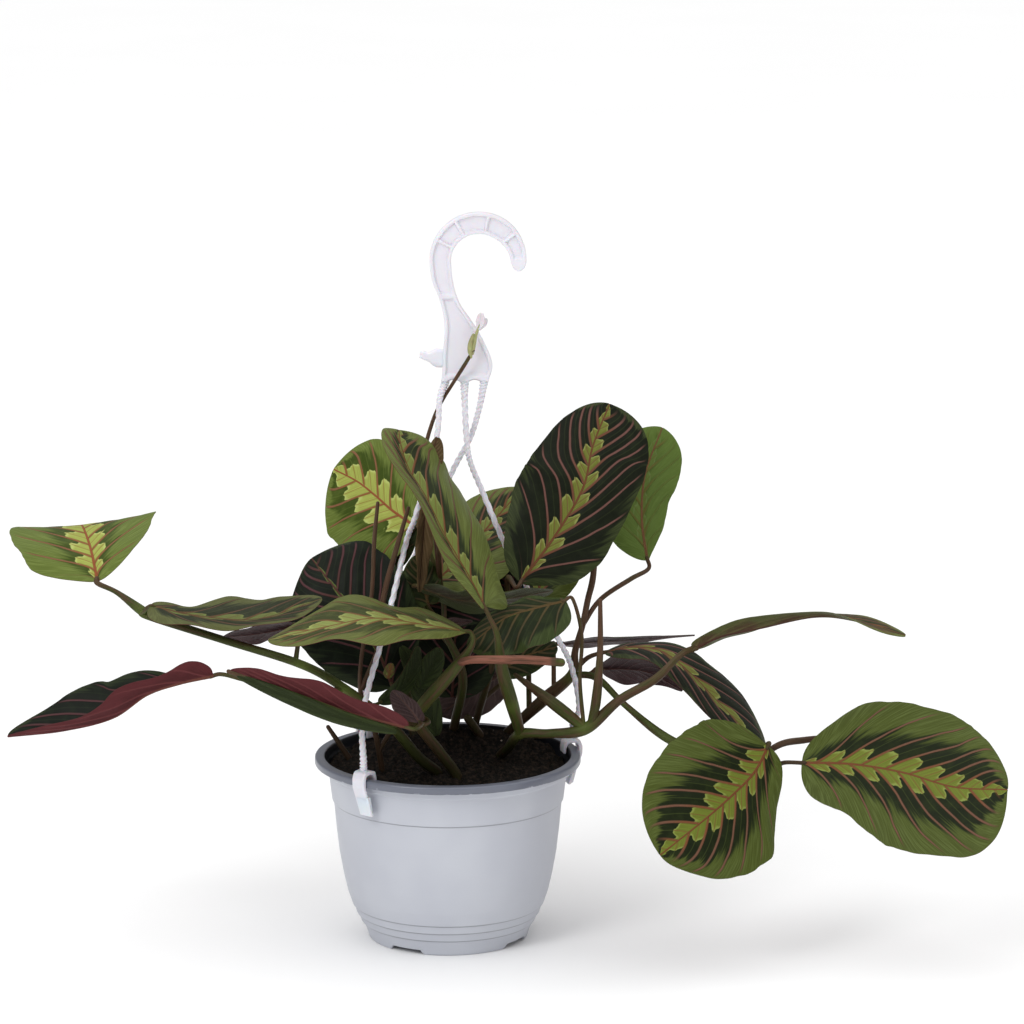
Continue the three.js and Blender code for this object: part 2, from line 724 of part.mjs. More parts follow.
function hookShape() {
  const [x, z] = hookCentre;
  const turn = THREE.MathUtils.degToRad(hookTipAngle);
  const shape = new THREE.Shape();
  shape.moveTo(-2, 336);
  shape.lineTo(-6, 336.6);
  shape.lineTo(-10, 334.6);
  shape.lineTo(-14.6, 335);
  shape.lineTo(-15, 331);
  shape.lineTo(-11, 329.6);
  shape.lineTo(-8, 326);
  shape.lineTo(-2.4, 326);
  shape.lineTo(-3, 317.8);
  shape.lineTo(0, 317.8);
  shape.quadraticCurveTo(4, 331, 7.6, 317.8);
  shape.lineTo(12, 317.8);
  shape.quadraticCurveTo(15.5, 331, 19, 317.8);
  shape.lineTo(23, 317.8);
  shape.lineTo(25.3, 328);
  shape.quadraticCurveTo(21, 341, 15, 350.3);
  shape.quadraticCurveTo(4.4, 362, 2.5, hookCentre[1]);
  shape.absarc(x, z, hookInner, Math.PI, turn, true);
  shape.lineTo(x + hookOuter * Math.cos(turn), z + hookOuter * Math.sin(turn));
  shape.absarc(x, z, hookOuter, turn, Math.PI, false);
  shape.quadraticCurveTo(-9.6, 375, -3.6, 363.2);
  shape.quadraticCurveTo(-0.6, 350, -2, 336);
  return shape;
}

function arcPocket(startDegrees, endDegrees) {
  const [x, z] = hookCentre;
  const start = THREE.MathUtils.degToRad(startDegrees);
  const end = THREE.MathUtils.degToRad(endDegrees);
  const shape = new THREE.Shape();
  shape.absarc(x, z, hookOuter - 2, start, end, false);
  shape.absarc(x, z, hookInner + 2, end, start, true);
  return shape;
}

function neckPocket() {
  return new THREE.Shape([[-1.4, 366], [1.6, 366], [4, 357], [12.6, 350], [19, 338], [22.6, 328.6],
    [18, 326.6], [12, 328], [6, 327], [1, 326], [0.4, 336], [1.4, 350]]
    .map(([x, z]) => new THREE.Vector2(x, z)));
}

function hanger() {
  let solid = solidFrom(plateSolid(hookShape(), plateThickness, -plateThickness / 2, 8));
  const pockets = [[4, 36], [40, 76], [80, 118], [122, 150], [154, 176]]
    .map(([start, end]) => arcPocket(start, end));
  for (const shape of [...pockets, neckPocket()]) {
    for (const front of [-plateThickness / 2 - 1, plateThickness / 2 - pocketDepth]) {
      solid = solid.subtract(solidFrom(plateSolid(shape, pocketDepth + 1, front, 2)));
    }
  }
  return geometryFrom(solid);
}

const legs = {
  hanger_leg_left: {
    angle: 231,
    points: [[-1.5, 0, 316.9, 1.5], [-4, -1, 308, 1.6], [-6, -3, 285, 1.5], [-17, -16, 246, 1.5],
      [-22, -22, 233, 1.5], [-30, -32, 201, 1.5], [-36, -41, 179, 1.5], [-44, -49, 151, 1.5],
      [-46.4, -55, 134, 1.5]],
  },
  hanger_leg_right: {
    angle: 14,
    points: [[9.8, 0, 316.9, 1.5], [11, 3, 284, 1.6], [13, 6, 271, 1.5], [20, 14, 252, 1.5],
      [32, 24, 221, 1.5], [46, 30, 192, 1.5], [63, 22, 165, 1.5], [70, 16, 151, 1.5],
      [74, 11, 130, 1.5]],
  },
  hanger_leg_back: {
    angle: 131,
    points: [[21, 0, 316.7, 1.5], [18, 3, 303, 1.6], [13, 9, 285, 1.5], [3, 16, 265, 1.5],
      [-10, 22, 235, 1.5], [-27, 36, 192, 1.5], [-44, 48, 145, 1.5], [-50, 55, 124, 1.5]],
  },
};

// A clip over the rim, drawn in the plane through the pot's axis: a strap that leans in below the
// lip, a round bend over it and a short prong inside. A small block stands low on its right.
function clipShape() {
  const outside = rimRadius + clipGap;
  const inside = rimInner - 1.3;
  const shape = new THREE.Shape();
  shape.moveTo(outside - 6.6, clipBottom);
  shape.lineTo(outside - 4.4, clipBottom);
  shape.lineTo(outside + 2.2, rimTop - 4);
  shape.quadraticCurveTo(outside + 2.4, rimTop + 5, outside - 3.6, rimTop + 5);
  shape.quadraticCurveTo(inside - 1.8, rimTop + 5, inside - 1.8, rimTop - 3.4);
  shape.lineTo(inside, rimTop - 3.6);
  shape.quadraticCurveTo(inside, rimTop + 2.8, outside - 3.2, rimTop + 2.8);
  shape.quadraticCurveTo(outside, rimTop + 2.8, outside, rimTop);
  shape.lineTo(outside, rimTop - rimDrop - 0.5);
  return shape;
}

function legGeometry({ angle, points }) {
  const turn = THREE.MathUtils.degToRad(angle);
  const strap = new THREE.ExtrudeGeometry(clipShape(),
    { depth: clipWidth, bevelEnabled: false, curveSegments: 5 })
    .rotateX(Math.PI / 2).translate(0, clipWidth / 2, 0);
  const block = new THREE.BoxGeometry(2.2, 2.4, 7)
    .translate(rimRadius - 3.6, clipWidth / 2 + 0.6, clipBottom + 4.4);
  const seat = [clipSeat * Math.cos(turn), clipSeat * Math.sin(turn)];
  const end = [[...seat, rimTop + 12, 1.8], [...seat, rimTop + 3.8, 2]];
  const parts = [strap, block].map((piece) => turnedAt(piece, angle));
  return fuse([...parts, tubeGeometry([...points, ...end])]);
}

// The bloom at the stalk's top: a green bract, a bud and one open lilac petal
function bloomGeometry() {
  const [x, y, z] = bloomPlace;
  const bract = new THREE.SphereGeometry(1, 8, 6).scale(2.2, 1.8, 5).rotateY(-0.3)
    .translate(x, y, z + 4.6);
  const bud = new THREE.SphereGeometry(1, 8, 6).scale(1.4, 1.3, 5).rotateY(0.35)
    .translate(x + 2.6, y, z + 11);
  const petal = new THREE.SphereGeometry(1, 8, 6).scale(3, 1, 4).rotateY(0.3)
    .translate(x + 4.6, y, z + 16.5);
  return fuse([bract, bud, petal]);
}

addMesh('pot', pot(), colours.potOuter, 0.35);
addMesh('soil', soil(), colours.soil, 1);
addMesh('hanger_hook', hanger(), colours.hanger, 0.4);
for (const [name, leg] of Object.entries(legs)) {
  addMesh(name, legGeometry(leg), colours.hanger, 0.4);
}
for (const name of Object.keys(blades)) {
  blades[name] = { ...bladeDefaults, ...blades[name] };
}
for (const [name, blade] of Object.entries(blades)) {
  addMesh(name, bladeGeometry(blade), underShown.includes(name) ? colours.leafShaded : colours.leafTop,
    0.5);
}
for (const [name, shoot] of Object.entries(shoots)) {
  addMesh(name, shootGeometry(shoot), colours.stem, 0.6);
}
for (const [name, { root: [x, y, radius], tip }] of Object.entries(stubs)) {
  const points = [...rootHeights.map((z) => [x, y, z, radius]), tip];
  addMesh(name, fuse([tubeGeometry(points)]), colours.stalk, 0.8);
}

addMesh('flower', bloomGeometry(), colours.petal, 0.5);

export default model;
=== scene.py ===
"""A potted prayer plant with its clip-on hanger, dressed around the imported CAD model.

Tables are in millimetres and meshes in metres. +Z is up and the front looks along -Y.
"""
import bpy
import numpy as np
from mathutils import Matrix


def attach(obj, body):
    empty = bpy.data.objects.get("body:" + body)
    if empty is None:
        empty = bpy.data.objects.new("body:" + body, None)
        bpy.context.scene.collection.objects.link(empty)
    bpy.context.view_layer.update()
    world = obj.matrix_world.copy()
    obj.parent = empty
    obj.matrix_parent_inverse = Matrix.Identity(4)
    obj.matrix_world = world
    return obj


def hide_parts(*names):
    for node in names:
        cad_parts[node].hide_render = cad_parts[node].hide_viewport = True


MM = 0.001

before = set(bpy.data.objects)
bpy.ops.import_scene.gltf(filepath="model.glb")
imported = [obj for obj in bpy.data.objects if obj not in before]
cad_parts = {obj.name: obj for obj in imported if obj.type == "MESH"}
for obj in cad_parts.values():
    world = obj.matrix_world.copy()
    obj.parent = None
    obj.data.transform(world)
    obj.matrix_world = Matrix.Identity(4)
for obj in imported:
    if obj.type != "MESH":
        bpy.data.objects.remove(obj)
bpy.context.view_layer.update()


# Colours and nodes

def linear(code):
    """A hex sRGB colour as linear RGBA: each channel is undone from the sRGB curve."""
    channels = np.array([int(code[k:k + 2], 16) for k in (1, 3, 5)]) / 255
    low = channels / 12.92
    high = ((channels + 0.055) / 1.055) ** 2.4
    return (*np.where(channels <= 0.04045, low, high), 1.0)


def add(tree, kind, *inputs, named=None, out=0, **settings):
    """Adds one node with its settings, and its inputs in their order or by name, each a value, a
    hex colour or a link. Gives one of its outputs, or the node where it has none."""
    node = tree.nodes.new("ShaderNode" + kind)
    for key, value in settings.items():
        setattr(node, key, value)
    sockets = [socket for socket in node.inputs if socket.enabled]
    pairs = [*zip(sockets, inputs)]
    pairs += [(node.inputs[key], value) for key, value in (named or {}).items()]
    for socket, value in pairs:
        if isinstance(value, bpy.types.NodeSocket):
            tree.links.new(value, socket)
        elif isinstance(value, str):
            socket.default_value = linear(value)
        elif value is not None:
            socket.default_value = value
    outputs = [socket for socket in node.outputs if socket.enabled]
    return outputs[out] if outputs else node


def mix(tree, share, first, second):
    """The first colour turned into the second by a share from 0 to 1."""
    return add(tree, "Mix", share, first, second, data_type="RGBA")


def ramp(tree, value, *limits):
    """0 at the first limit and 1 at the second, or the two results given after them, with level
    ends."""
    return add(tree, "MapRange", value, *limits, interpolation_type="SMOOTHSTEP")


def scaled(tree, value, factor, more=None):
    """A value times a factor, with more added where it is given."""
    if more is None:
        return add(tree, "Math", value, factor, operation="MULTIPLY")
    return add(tree, "Math", value, factor, more, operation="MULTIPLY_ADD")


def added(tree, first, second):
    """The sum of two values."""
    return add(tree, "Math", first, second, operation="ADD")


def scale_of(size):
    """A pattern's scale from the real size in millimetres of one of its spots or grains."""
    return 1 / (size * MM)


def noise(tree, spot, size, *settings):
    """Noise with grains of a size in millimetres, then its detail and roughness."""
    return add(tree, "TexNoise", spot, scale_of(size), *settings)


def object_place(tree):
    """The place on the piece in its own coordinates, in metres."""
    return add(tree, "TexCoord", out=3)


def field(tree, key):
    """A field of the mesh as a value."""
    return add(tree, "Attribute", attribute_name=key, out=2)


def start_material(name):
    """A new material with an empty tree."""
    material = bpy.data.materials.new(name)
    material.use_nodes = True
    material.node_tree.nodes.clear()
    return material, material.node_tree


def finish_material(tree, colour, roughness, relief=None, **inputs):
    """Joins a Principled shader to the material's output. Relief is a height, its strength and its
    depth in millimetres."""
    named = {key.replace("_", " "): value for key, value in inputs.items()}
    if relief:
        height, strength, depth = relief
        named["Normal"] = add(tree, "Bump", named={"Height": height, "Strength": strength,
                                                   "Distance": depth * MM})
    named.update({"Base Color": colour, "Roughness": roughness})
    add(tree, "OutputMaterial", add(tree, "BsdfPrincipled", named=named))


# Curves and surfaces

def curve(values, s):
    """A smooth curve through evenly spaced values, read at s from 0 to 1.

    Between two values it is the cubic whose end slopes are half the step between their neighbours.
    """
    points = np.asarray(values, float)
    if points.ndim == 1:
        points = points[:, None]
    if len(points) == 1:
        return np.broadcast_to(points[0], np.shape(s) + (points.shape[1],))
    place = np.clip(s, 0, 1) * (len(points) - 1)
    i = np.minimum(place.astype(int), len(points) - 2)
    f = (place - i)[..., None]
    wide = np.vstack([2 * points[0] - points[1], points, 2 * points[-1] - points[-2]])
    before, first, second, after = (wide[i + k] for k in range(4))
    start, end = (second - before) / 2, (after - first) / 2
    return ((2 * first - 2 * second + start + end) * f ** 3
            + (3 * second - 3 * first - 2 * start - end) * f ** 2 + start * f + first)


def unit(vectors):
    """Each vector over its own length."""
    return vectors / np.maximum(np.linalg.norm(vectors, axis=-1, keepdims=True), 1e-9)


def smooth_step(value, low, high):
    """0 at low and 1 at high, with level ends in between: the cubic 3f^2 - 2f^3."""
    f = np.clip((value - low) / (high - low), 0, 1)
    return f * f * (3 - 2 * f)


def soft_noise(x, y, size, seed, count=12):
    """Soft noise from about -1 to 1: a sum of plane waves about size long, in seeded directions."""
    draw = np.random.default_rng(seed)
    angle = draw.uniform(0, 2 * np.pi, count)
    length = size * draw.uniform(0.6, 1.6, count)
    phase = draw.uniform(0, 2 * np.pi, count)
    x, y = np.asarray(x)[..., None], np.asarray(y)[..., None]
    wave = (x * np.cos(angle) + y * np.sin(angle)) * 2 * np.pi / length + phase
    return np.sin(wave).sum(-1) / np.sqrt(count)


def rounded(outline, radius, steps=5, closed=False):
    """An outline whose corners are rounded: each is replaced by the parabola between two points on
    its sides, at the radius from the corner or nearer where a side is short."""
    points = np.asarray(outline, float)
    back, ahead = np.roll(points, 1, 0) - points, np.roll(points, -1, 0) - points
    lengths = [np.linalg.norm(side, axis=1, keepdims=True) for side in (back, ahead)]
    cut = [np.minimum(radius, 0.45 * length) for length in lengths]
    start = points + back / lengths[0] * cut[0]
    end = points + ahead / lengths[1] * cut[1]
    u = np.linspace(0, 1, steps)[None, :, None]
    bend = (start[:, None] * (1 - u) ** 2 + 2 * points[:, None] * u * (1 - u) + end[:, None] * u ** 2)
    if closed:
        return bend.reshape(-1, points.shape[1])
    inner = bend[1:-1].reshape(-1, points.shape[1])
    return np.vstack([points[:1], inner, points[-1:]])


def grid_corners(rows, columns, round_columns=False):
    """Row and column of each corner of a grid's faces, not wrapped where the columns close round."""
    i = np.arange(rows - 1)[:, None]
    j = np.arange(columns if round_columns else columns - 1)[None, :]
    row = np.stack(np.broadcast_arrays(i, i, i + 1, i + 1, j)[:4], -1)
    column = np.stack(np.broadcast_arrays(j, j + 1, j + 1, j, i)[:4], -1)
    return row.reshape(-1, 4), column.reshape(-1, 4)


def shell(points, faces, caps=(), index=0, uvs=None, fields=None, cap_index=0):
    """A closed surface with its faces turned outwards: if the volume they enclose comes out
    negative, every face is read backwards."""
    points, faces = np.asarray(points, float), np.asarray(faces)
    corner = points[faces]
    split = [corner[:, [0, 1, 2]], corner[:, [0, 2, 3]]]
    fans = [points[[(cap[0], a, b) for a, b in zip(cap[1:-1], cap[2:])]] for cap in caps]
    volume = sum(np.einsum("ij,ij->", part[:, 0], np.cross(part[:, 1], part[:, 2]))
                 for part in [*split, *fans])
    turn = -1 if volume < 0 else 1
    index = np.broadcast_to(index, len(faces))
    uvs = {key: np.asarray(value)[:, ::turn] for key, value in (uvs or {}).items()}
    return {"points": points, "faces": faces[:, ::turn], "caps": [cap[::turn] for cap in caps],
            "index": index, "cap_index": cap_index, "uvs": uvs, "fields": fields or {}}


def make_piece(name, shells, materials, sharp=40):
    """One mesh object in the row frame from shells in mm, whose fields and UV maps go along."""
    mesh = bpy.data.meshes.new(name)
    offsets = np.cumsum([0, *(len(part["points"]) for part in shells)])
    points = np.concatenate([part["points"] for part in shells])
    faces = np.concatenate([part["faces"] + k for part, k in zip(shells, offsets)])
    caps = [np.asarray(cap) + k for part, k in zip(shells, offsets) for cap in part["caps"]]
    cap_index = [part["cap_index"] for part in shells for cap in part["caps"]]
    corners = np.concatenate([faces.ravel(), *caps]).astype(np.int32)
    totals = np.concatenate([np.full(len(faces), 4), [len(cap) for cap in caps]]).astype(np.int32)
    mesh.vertices.add(len(points))
    mesh.vertices.foreach_set("co", (points * MM).astype(np.float32).ravel())
    mesh.loops.add(len(corners))
    mesh.loops.foreach_set("vertex_index", corners)
    mesh.polygons.add(len(totals))
    mesh.polygons.foreach_set("loop_start", np.cumsum([0, *totals[:-1]]).astype(np.int32))
    for material in materials:
        mesh.materials.append(material)
    index = np.concatenate([*(part["index"] for part in shells), cap_index]).astype(np.int32)
    mesh.polygons.foreach_set("material_index", index)
    mesh.update(calc_edges=True)
    mesh.polygons.foreach_set("use_smooth", np.ones(len(totals), bool))
    mesh.set_sharp_from_angle(angle=np.radians(sharp))
    for key in sorted({key for part in shells for key in part["uvs"]}):
        flat = np.zeros((len(corners), 2), np.float32)
        flat[:faces.size] = np.concatenate([part["uvs"][key].reshape(-1, 2) for part in shells])
        mesh.uv_layers.new(name=key).data.foreach_set("uv", flat.ravel())
    for key in sorted({key for part in shells for key in part["fields"]}):
        values = np.concatenate([np.broadcast_to(part["fields"].get(key, 0), len(part["points"]))
                                 for part in shells])
        attribute = mesh.attributes.new(key, "FLOAT", "POINT")
        attribute.data.foreach_set("value", values.astype(np.float32))
    mesh.validate()
    piece = bpy.data.objects.new(name, mesh)
    bpy.context.scene.collection.objects.link(piece)
    return piece


def place(piece, slot, *nodes):
    """The piece rides on the root and stands for its CAD nodes. The slot is not used."""
    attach(piece, "root")
    if nodes:
        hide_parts(*nodes)


def slab(upper, lower):
    """A closed sheet between two grids of points: both grids' faces and a margin all round.
    Faces of the upper grid carry index 0, the others 1."""
    rows, columns = upper.shape[:2]
    row, column = grid_corners(rows, columns)
    top = row * columns + column
    total = rows * columns
    ring = np.concatenate([np.arange(columns), np.arange(1, rows) * columns + columns - 1,
                           (rows - 1) * columns + np.arange(columns - 2, -1, -1),
                           np.arange(rows - 2, 0, -1) * columns])
    following = np.roll(ring, -1)
    margin = np.stack([ring, total + ring, total + following, following], -1)
    faces = np.concatenate([top, total + top[:, ::-1], margin])
    index = np.concatenate([np.zeros(len(top)), np.ones(len(top) + len(margin))])
    points = np.concatenate([upper.reshape(-1, 3), lower.reshape(-1, 3)])
    return points, faces, index


def turned(profile, columns, lift):
    """A profile of radius and height turned round the Z axis, with flat caps at both ends. The
    lift gives each point's new height from its x, y and z."""
    profile = np.asarray(profile, float)
    angle = 2 * np.pi * np.arange(columns) / columns
    x, y = profile[:, :1] * np.cos(angle), profile[:, :1] * np.sin(angle)
    points = np.stack([x, y, lift(x, y, profile[:, 1:2] + 0 * angle)], -1)
    row, column = grid_corners(len(profile), columns, True)
    faces = row * columns + column % columns
    last = (len(profile) - 1) * columns
    caps = [np.arange(columns)[::-1], last + np.arange(columns)]
    return points.reshape(-1, 3), faces, caps


def tube(path, sides=14, step=1.5, lobes=0, pitch=1, depth=0, fields=None):
    """A closed tube along a smooth path of x, y, z and radius, with domed ends.

    Each ring stands square to the path, its start turned to the direction that the path runs along
    least. With lobes it is a twisted strand: the radius swells by depth as cos(lobes x (angle - one
    turn a pitch)). Fields are lists of values spread evenly along the path. With them go "run", the
    millimetres along it, and "round_x" and "round_y", the turn round it.
    """
    path = np.asarray(path, float)
    length = np.linalg.norm(np.diff(path[:, :3], axis=0), axis=1).sum()
    rows = max(int(length / step), 2 * len(path)) + 1
    s = np.linspace(0, 1, rows)
    centre, radius = np.split(curve(path, s), [3], axis=1)
    along = unit(curve(path[:, :3], s + 1e-3) - curve(path[:, :3], s - 1e-3))
    dome = np.array([0.95, 0.75, 0.4])[:, None]
    ends = [centre[0] - along[0] * radius[0] * dome, centre[-1] + along[-1] * radius[-1] * dome[::-1]]
    shrink = np.sqrt(1 - dome ** 2)
    centre = np.vstack([ends[0], centre, ends[1]])
    radius = np.vstack([radius[0] * shrink, radius, radius[-1] * shrink[::-1]])
    along = np.vstack([along[[0] * 3], along, along[[-1] * 3]])
    s = np.concatenate([[0] * 3, s, [1] * 3])
    least = np.linalg.eigh(along.T @ along)[1][:, 0]
    across = unit(least - (along @ least)[:, None] * along)
    other = np.cross(along, across)
    angle = 2 * np.pi * np.arange(sides) / sides
    swell = 1 + depth * np.cos(lobes * (angle - 2 * np.pi * (s * length / pitch)[:, None]))
    ring = (across[:, None] * np.cos(angle)[:, None] + other[:, None] * np.sin(angle)[:, None])
    points = centre[:, None] + ring * (radius * swell)[..., None]
    rows = len(s)
    row, column = grid_corners(rows, sides, True)
    faces = row * sides + column % sides
    caps = [np.arange(sides)[::-1], (rows - 1) * sides + np.arange(sides)]
    values = {key: np.repeat(np.interp(s, np.linspace(0, 1, len(value)), value), sides)
              for key, value in (fields or {}).items()}
    if fields:
        values.update(run=np.repeat(s * length, sides), round_x=np.tile(np.cos(angle), rows),
                      round_y=np.tile(np.sin(angle), rows))
    return shell(points.reshape(-1, 3), faces, caps, fields=values)


# Camera, floor and light

CAMERA_DISTANCE = 2600
CAMERA_RISE = np.radians(11.5)
CAMERA_TARGET = np.array([36.2, 0, 244.1])

lens = bpy.data.cameras.new("camera")
lens.lens = 163.76
lens.sensor_width = 36
lens.clip_end = 100
camera = bpy.data.objects.new("camera", lens)
camera.location = (CAMERA_TARGET + CAMERA_DISTANCE
                   * np.array([0, -np.cos(CAMERA_RISE), np.sin(CAMERA_RISE)])) * MM
camera.rotation_euler = (np.pi / 2 - CAMERA_RISE, 0, 0)
bpy.context.scene.collection.objects.link(camera)
bpy.context.scene.camera = camera
bpy.context.scene.view_settings.view_transform = "Standard"


def soft_box(name, spot, aim, size, power):
    """A square soft light at a spot in metres, turned so that its face looks at the aim."""
    light = bpy.data.lights.new(name, "AREA")
    light.size = size
    light.energy = power
    lamp = bpy.data.objects.new(name, light)
    lamp.location = spot
    x, y, z = np.array(aim) - np.array(spot)
    lamp.rotation_euler = (np.arctan2(np.hypot(x, y), -z), 0, np.arctan2(-x, y))
    bpy.context.scene.collection.objects.link(lamp)


soft_box("key_left", (-1.3, -1.7, 1.6), (0, 0, 0.2), size=0.9, power=20.5)
soft_box("fill_right", (1.6, -1.7, 0.5), (0, 0, 0.1), size=1.4, power=5)

# An even, wide light from straight above, which keeps the floor white as far as the eye goes
overhead = bpy.data.lights.new("overhead", "SUN")
overhead.energy = 2.3
overhead.angle = np.radians(100)
bpy.context.scene.collection.objects.link(bpy.data.objects.new("overhead", overhead))

world = bpy.data.worlds.new("studio")
world.use_nodes = True
bpy.context.scene.world = world
world.node_tree.nodes["Background"].inputs["Color"].default_value = linear("#ffffff")
world.node_tree.nodes["Background"].inputs["Strength"].default_value = 0.35

# Matt white paper: it shows only a soft shadow, and clouds too faint to see as spots
FLOOR_HALF = 4e4
floor_material, tree = start_material("white_paper_sweep")
spot = object_place(tree)
tone = mix(tree, noise(tree, spot, 333), "#f6f6f6", "#f9f9f9")
finish_material(tree, tone, 0.9)
square = FLOOR_HALF * np.array([[-1, -1, 0], [1, -1, 0], [1, 1, 0], [-1, 1, 0]])
floor = make_piece("floor", [shell(square, [[0, 1, 2, 3]])], [floor_material])


# Leaf materials
# A blade's own fields carry the pattern: the UV map "veins" holds the vein count and the reach
# from the rib to the margin, "blade" the place along the rib and the millimetres across it;
# "spacing" is the millimetres between side veins, "band" the reach of the feathered lime band,
# "patch" that of the dark patches and "first" the vein count at the rib's base.

def leaf_fields(tree):
    """The pattern's coordinates as links, by name. Veins lie where the count is whole: "part" is
    the share of the way from one to the next, and "near" and "middle" are the millimetres to the
    nearest vein and to the line midway between two. The count sways a little, so that no vein is
    ruled, and "order" is the count less the one at the rib's base."""
    veins = add(tree, "SeparateXYZ", add(tree, "UVMap", uv_map="veins"))
    blade = add(tree, "SeparateXYZ", add(tree, "UVMap", uv_map="blade"))
    spot = object_place(tree)
    fields = {key: field(tree, key) for key in ("spacing", "band", "patch", "first")}
    sway = noise(tree, spot, 22.2, 1.0)
    sway = scaled(tree, sway, 0.06, -0.03)
    count = added(tree, veins, sway)
    part = add(tree, "Math", count, operation="FRACT")
    off = added(tree, part, -0.5)
    off = add(tree, "Math", off, operation="ABSOLUTE")
    near = add(tree, "Math", 0.5, off, operation="SUBTRACT")
    fields["near"] = scaled(tree, near, fields["spacing"])
    fields["middle"] = scaled(tree, off, fields["spacing"])
    reach = veins.node.outputs[1]
    fields["order"] = add(tree, "Math", count, fields["first"], operation="SUBTRACT")
    across = add(tree, "Math", blade.node.outputs[1], operation="ABSOLUTE")

    # Streaks that run with the veins: 26 and 9 to their spacing of about 12 mm, so about 0.5 mm and
    # 1.3 mm wide
    stretched = add(tree, "CombineXYZ", count, reach)
    fine = add(tree, "Mapping", stretched, None, None, (26.0, 3.0, 1.0))
    broad = add(tree, "Mapping", stretched, None, None, (9.0, 1.4, 1.0))
    return {"part": part, "reach": reach, "along": blade, "across": across, "spot": spot,
            "fine": add(tree, "TexNoise", fine, 1.0, 3.0),
            "broad": add(tree, "TexNoise", broad, 1.0, 2.0), **fields}


def vein_masks(tree, f, wide):
    """Masks of the side veins, of their dark outline and of the midrib, in real widths: a side
    vein is half as wide at the margin as at the rib, and the midrib thins to the tip."""
    half = scaled(tree, f["reach"], -0.4 * wide, wide)
    core = scaled(tree, half, 0.35)
    edge = added(tree, half, 0.6)
    rib_half = scaled(tree, f["along"], -0.6, 1.1)
    rib_core = scaled(tree, rib_half, 0.5)
    lasting = ramp(tree, f["reach"], 0.99, 0.8)
    first = ramp(tree, f["order"], -0.35, -0.15)
    lasting = scaled(tree, lasting, first)
    tip = ramp(tree, f["along"], 0.99, 0.9)
    lasting = scaled(tree, lasting, tip)
    side = ramp(tree, f["near"], half, core)
    line = ramp(tree, f["near"], edge, core)
    return (scaled(tree, side, lasting), scaled(tree, line, lasting),
            ramp(tree, f["across"], rib_half, rib_core))


def leaf_top(name, margin, streak, dark, lime, lime_edge, vein, vein_low, rib, outline, notch=0.4,
             gloss=0.42):
    """The upper side: a green margin with pale streaks, dark patches between the side veins, and
    a feathered lime band along the rib, one lobe on the tip side of each vein; the notch between
    two lobes goes down to that share of their height."""
    material, tree = start_material(name)
    f = leaf_fields(tree)
    fine, near = f["fine"], f["near"]
    cloud = noise(tree, f["spot"], 6.25, 2.0)
    colour = mix(tree, ramp(tree, fine, 0.42, 0.68), margin, streak)

    # Dark patches, which end in feathered streaks and reach further beside the veins
    limit = scaled(tree, f["broad"], 0.42, -0.21)
    limit = added(tree, limit, f["patch"])
    frill = scaled(tree, fine, 0.24, -0.12)
    limit = added(tree, limit, frill)
    beside = ramp(tree, near, 2.6, 0.8)
    limit = scaled(tree, beside, 0.12, limit)
    inner = added(tree, limit, -0.09)
    outer = added(tree, limit, 0.07)
    patch = ramp(tree, f["reach"], outer, inner)
    sheen = mix(tree, ramp(tree, cloud, 0.4, 0.75), *dark)
    colour = mix(tree, patch, colour, sheen)

    # Lime lobes: each starts full height at its vein and, two toothed steps on, is down at the rib
    flat = scaled(tree, f["part"], 0.3, 0.86)
    fall = scaled(tree, f["part"], -1.62, 1.7)
    edge = add(tree, "Math", flat, fall, operation="MINIMUM")
    edge = add(tree, "Math", edge, notch, operation="MAXIMUM")
    tooth = scaled(tree, f["part"], 4.0, 0.45)
    tooth = add(tree, "Math", tooth, 1.0, operation="PINGPONG")
    edge = scaled(tree, tooth, 0.16, edge)
    rough = scaled(tree, cloud, 0.5, -0.3)
    edge = added(tree, edge, rough)
    share = add(tree, "Math", f["reach"], f["band"], operation="DIVIDE")
    inside = add(tree, "Math", edge, share, operation="SUBTRACT")
    lobe = ramp(tree, inside, -0.02, 0.03)
    pale = ramp(tree, inside, 0.2, 0.02)
    warm = mix(tree, ramp(tree, fine, 0.35, 0.7), *lime)
    warm = mix(tree, pale, warm, lime_edge)
    colour = mix(tree, lobe, colour, warm)

    # A thin red vein up the middle of each lobe, which goes on as a faint pale line
    thin = ramp(tree, f["middle"], 0.34, 0.12)
    faint = scaled(tree, thin, 0.22)
    colour = mix(tree, faint, colour, streak)
    thin = scaled(tree, thin, lobe)
    thin = scaled(tree, thin, 0.7)
    colour = mix(tree, thin, colour, vein_low)

    # Side veins and the midrib, red brown, pinker out on the dark
    side, line, middle = vein_masks(tree, f, 0.98)
    line = scaled(tree, line, 0.35)
    colour = mix(tree, line, colour, outline)
    far = ramp(tree, f["reach"], 0.12, 0.4)
    red = mix(tree, far, vein_low, vein)
    colour = mix(tree, side, colour, red)
    colour = mix(tree, middle, colour, rib)

    # Raised veins over skin that domes a little between them
    height = ramp(tree, near, 0.0, 4.5, 0.0, 0.45)
    height = scaled(tree, side, 0.9, height)
    height = scaled(tree, middle, 1.0, height)
    height = scaled(tree, fine, 0.35, height)
    finish_material(tree, colour, gloss, (height, 0.7, 0.5), Specular_IOR_Level=0.09)
    return material


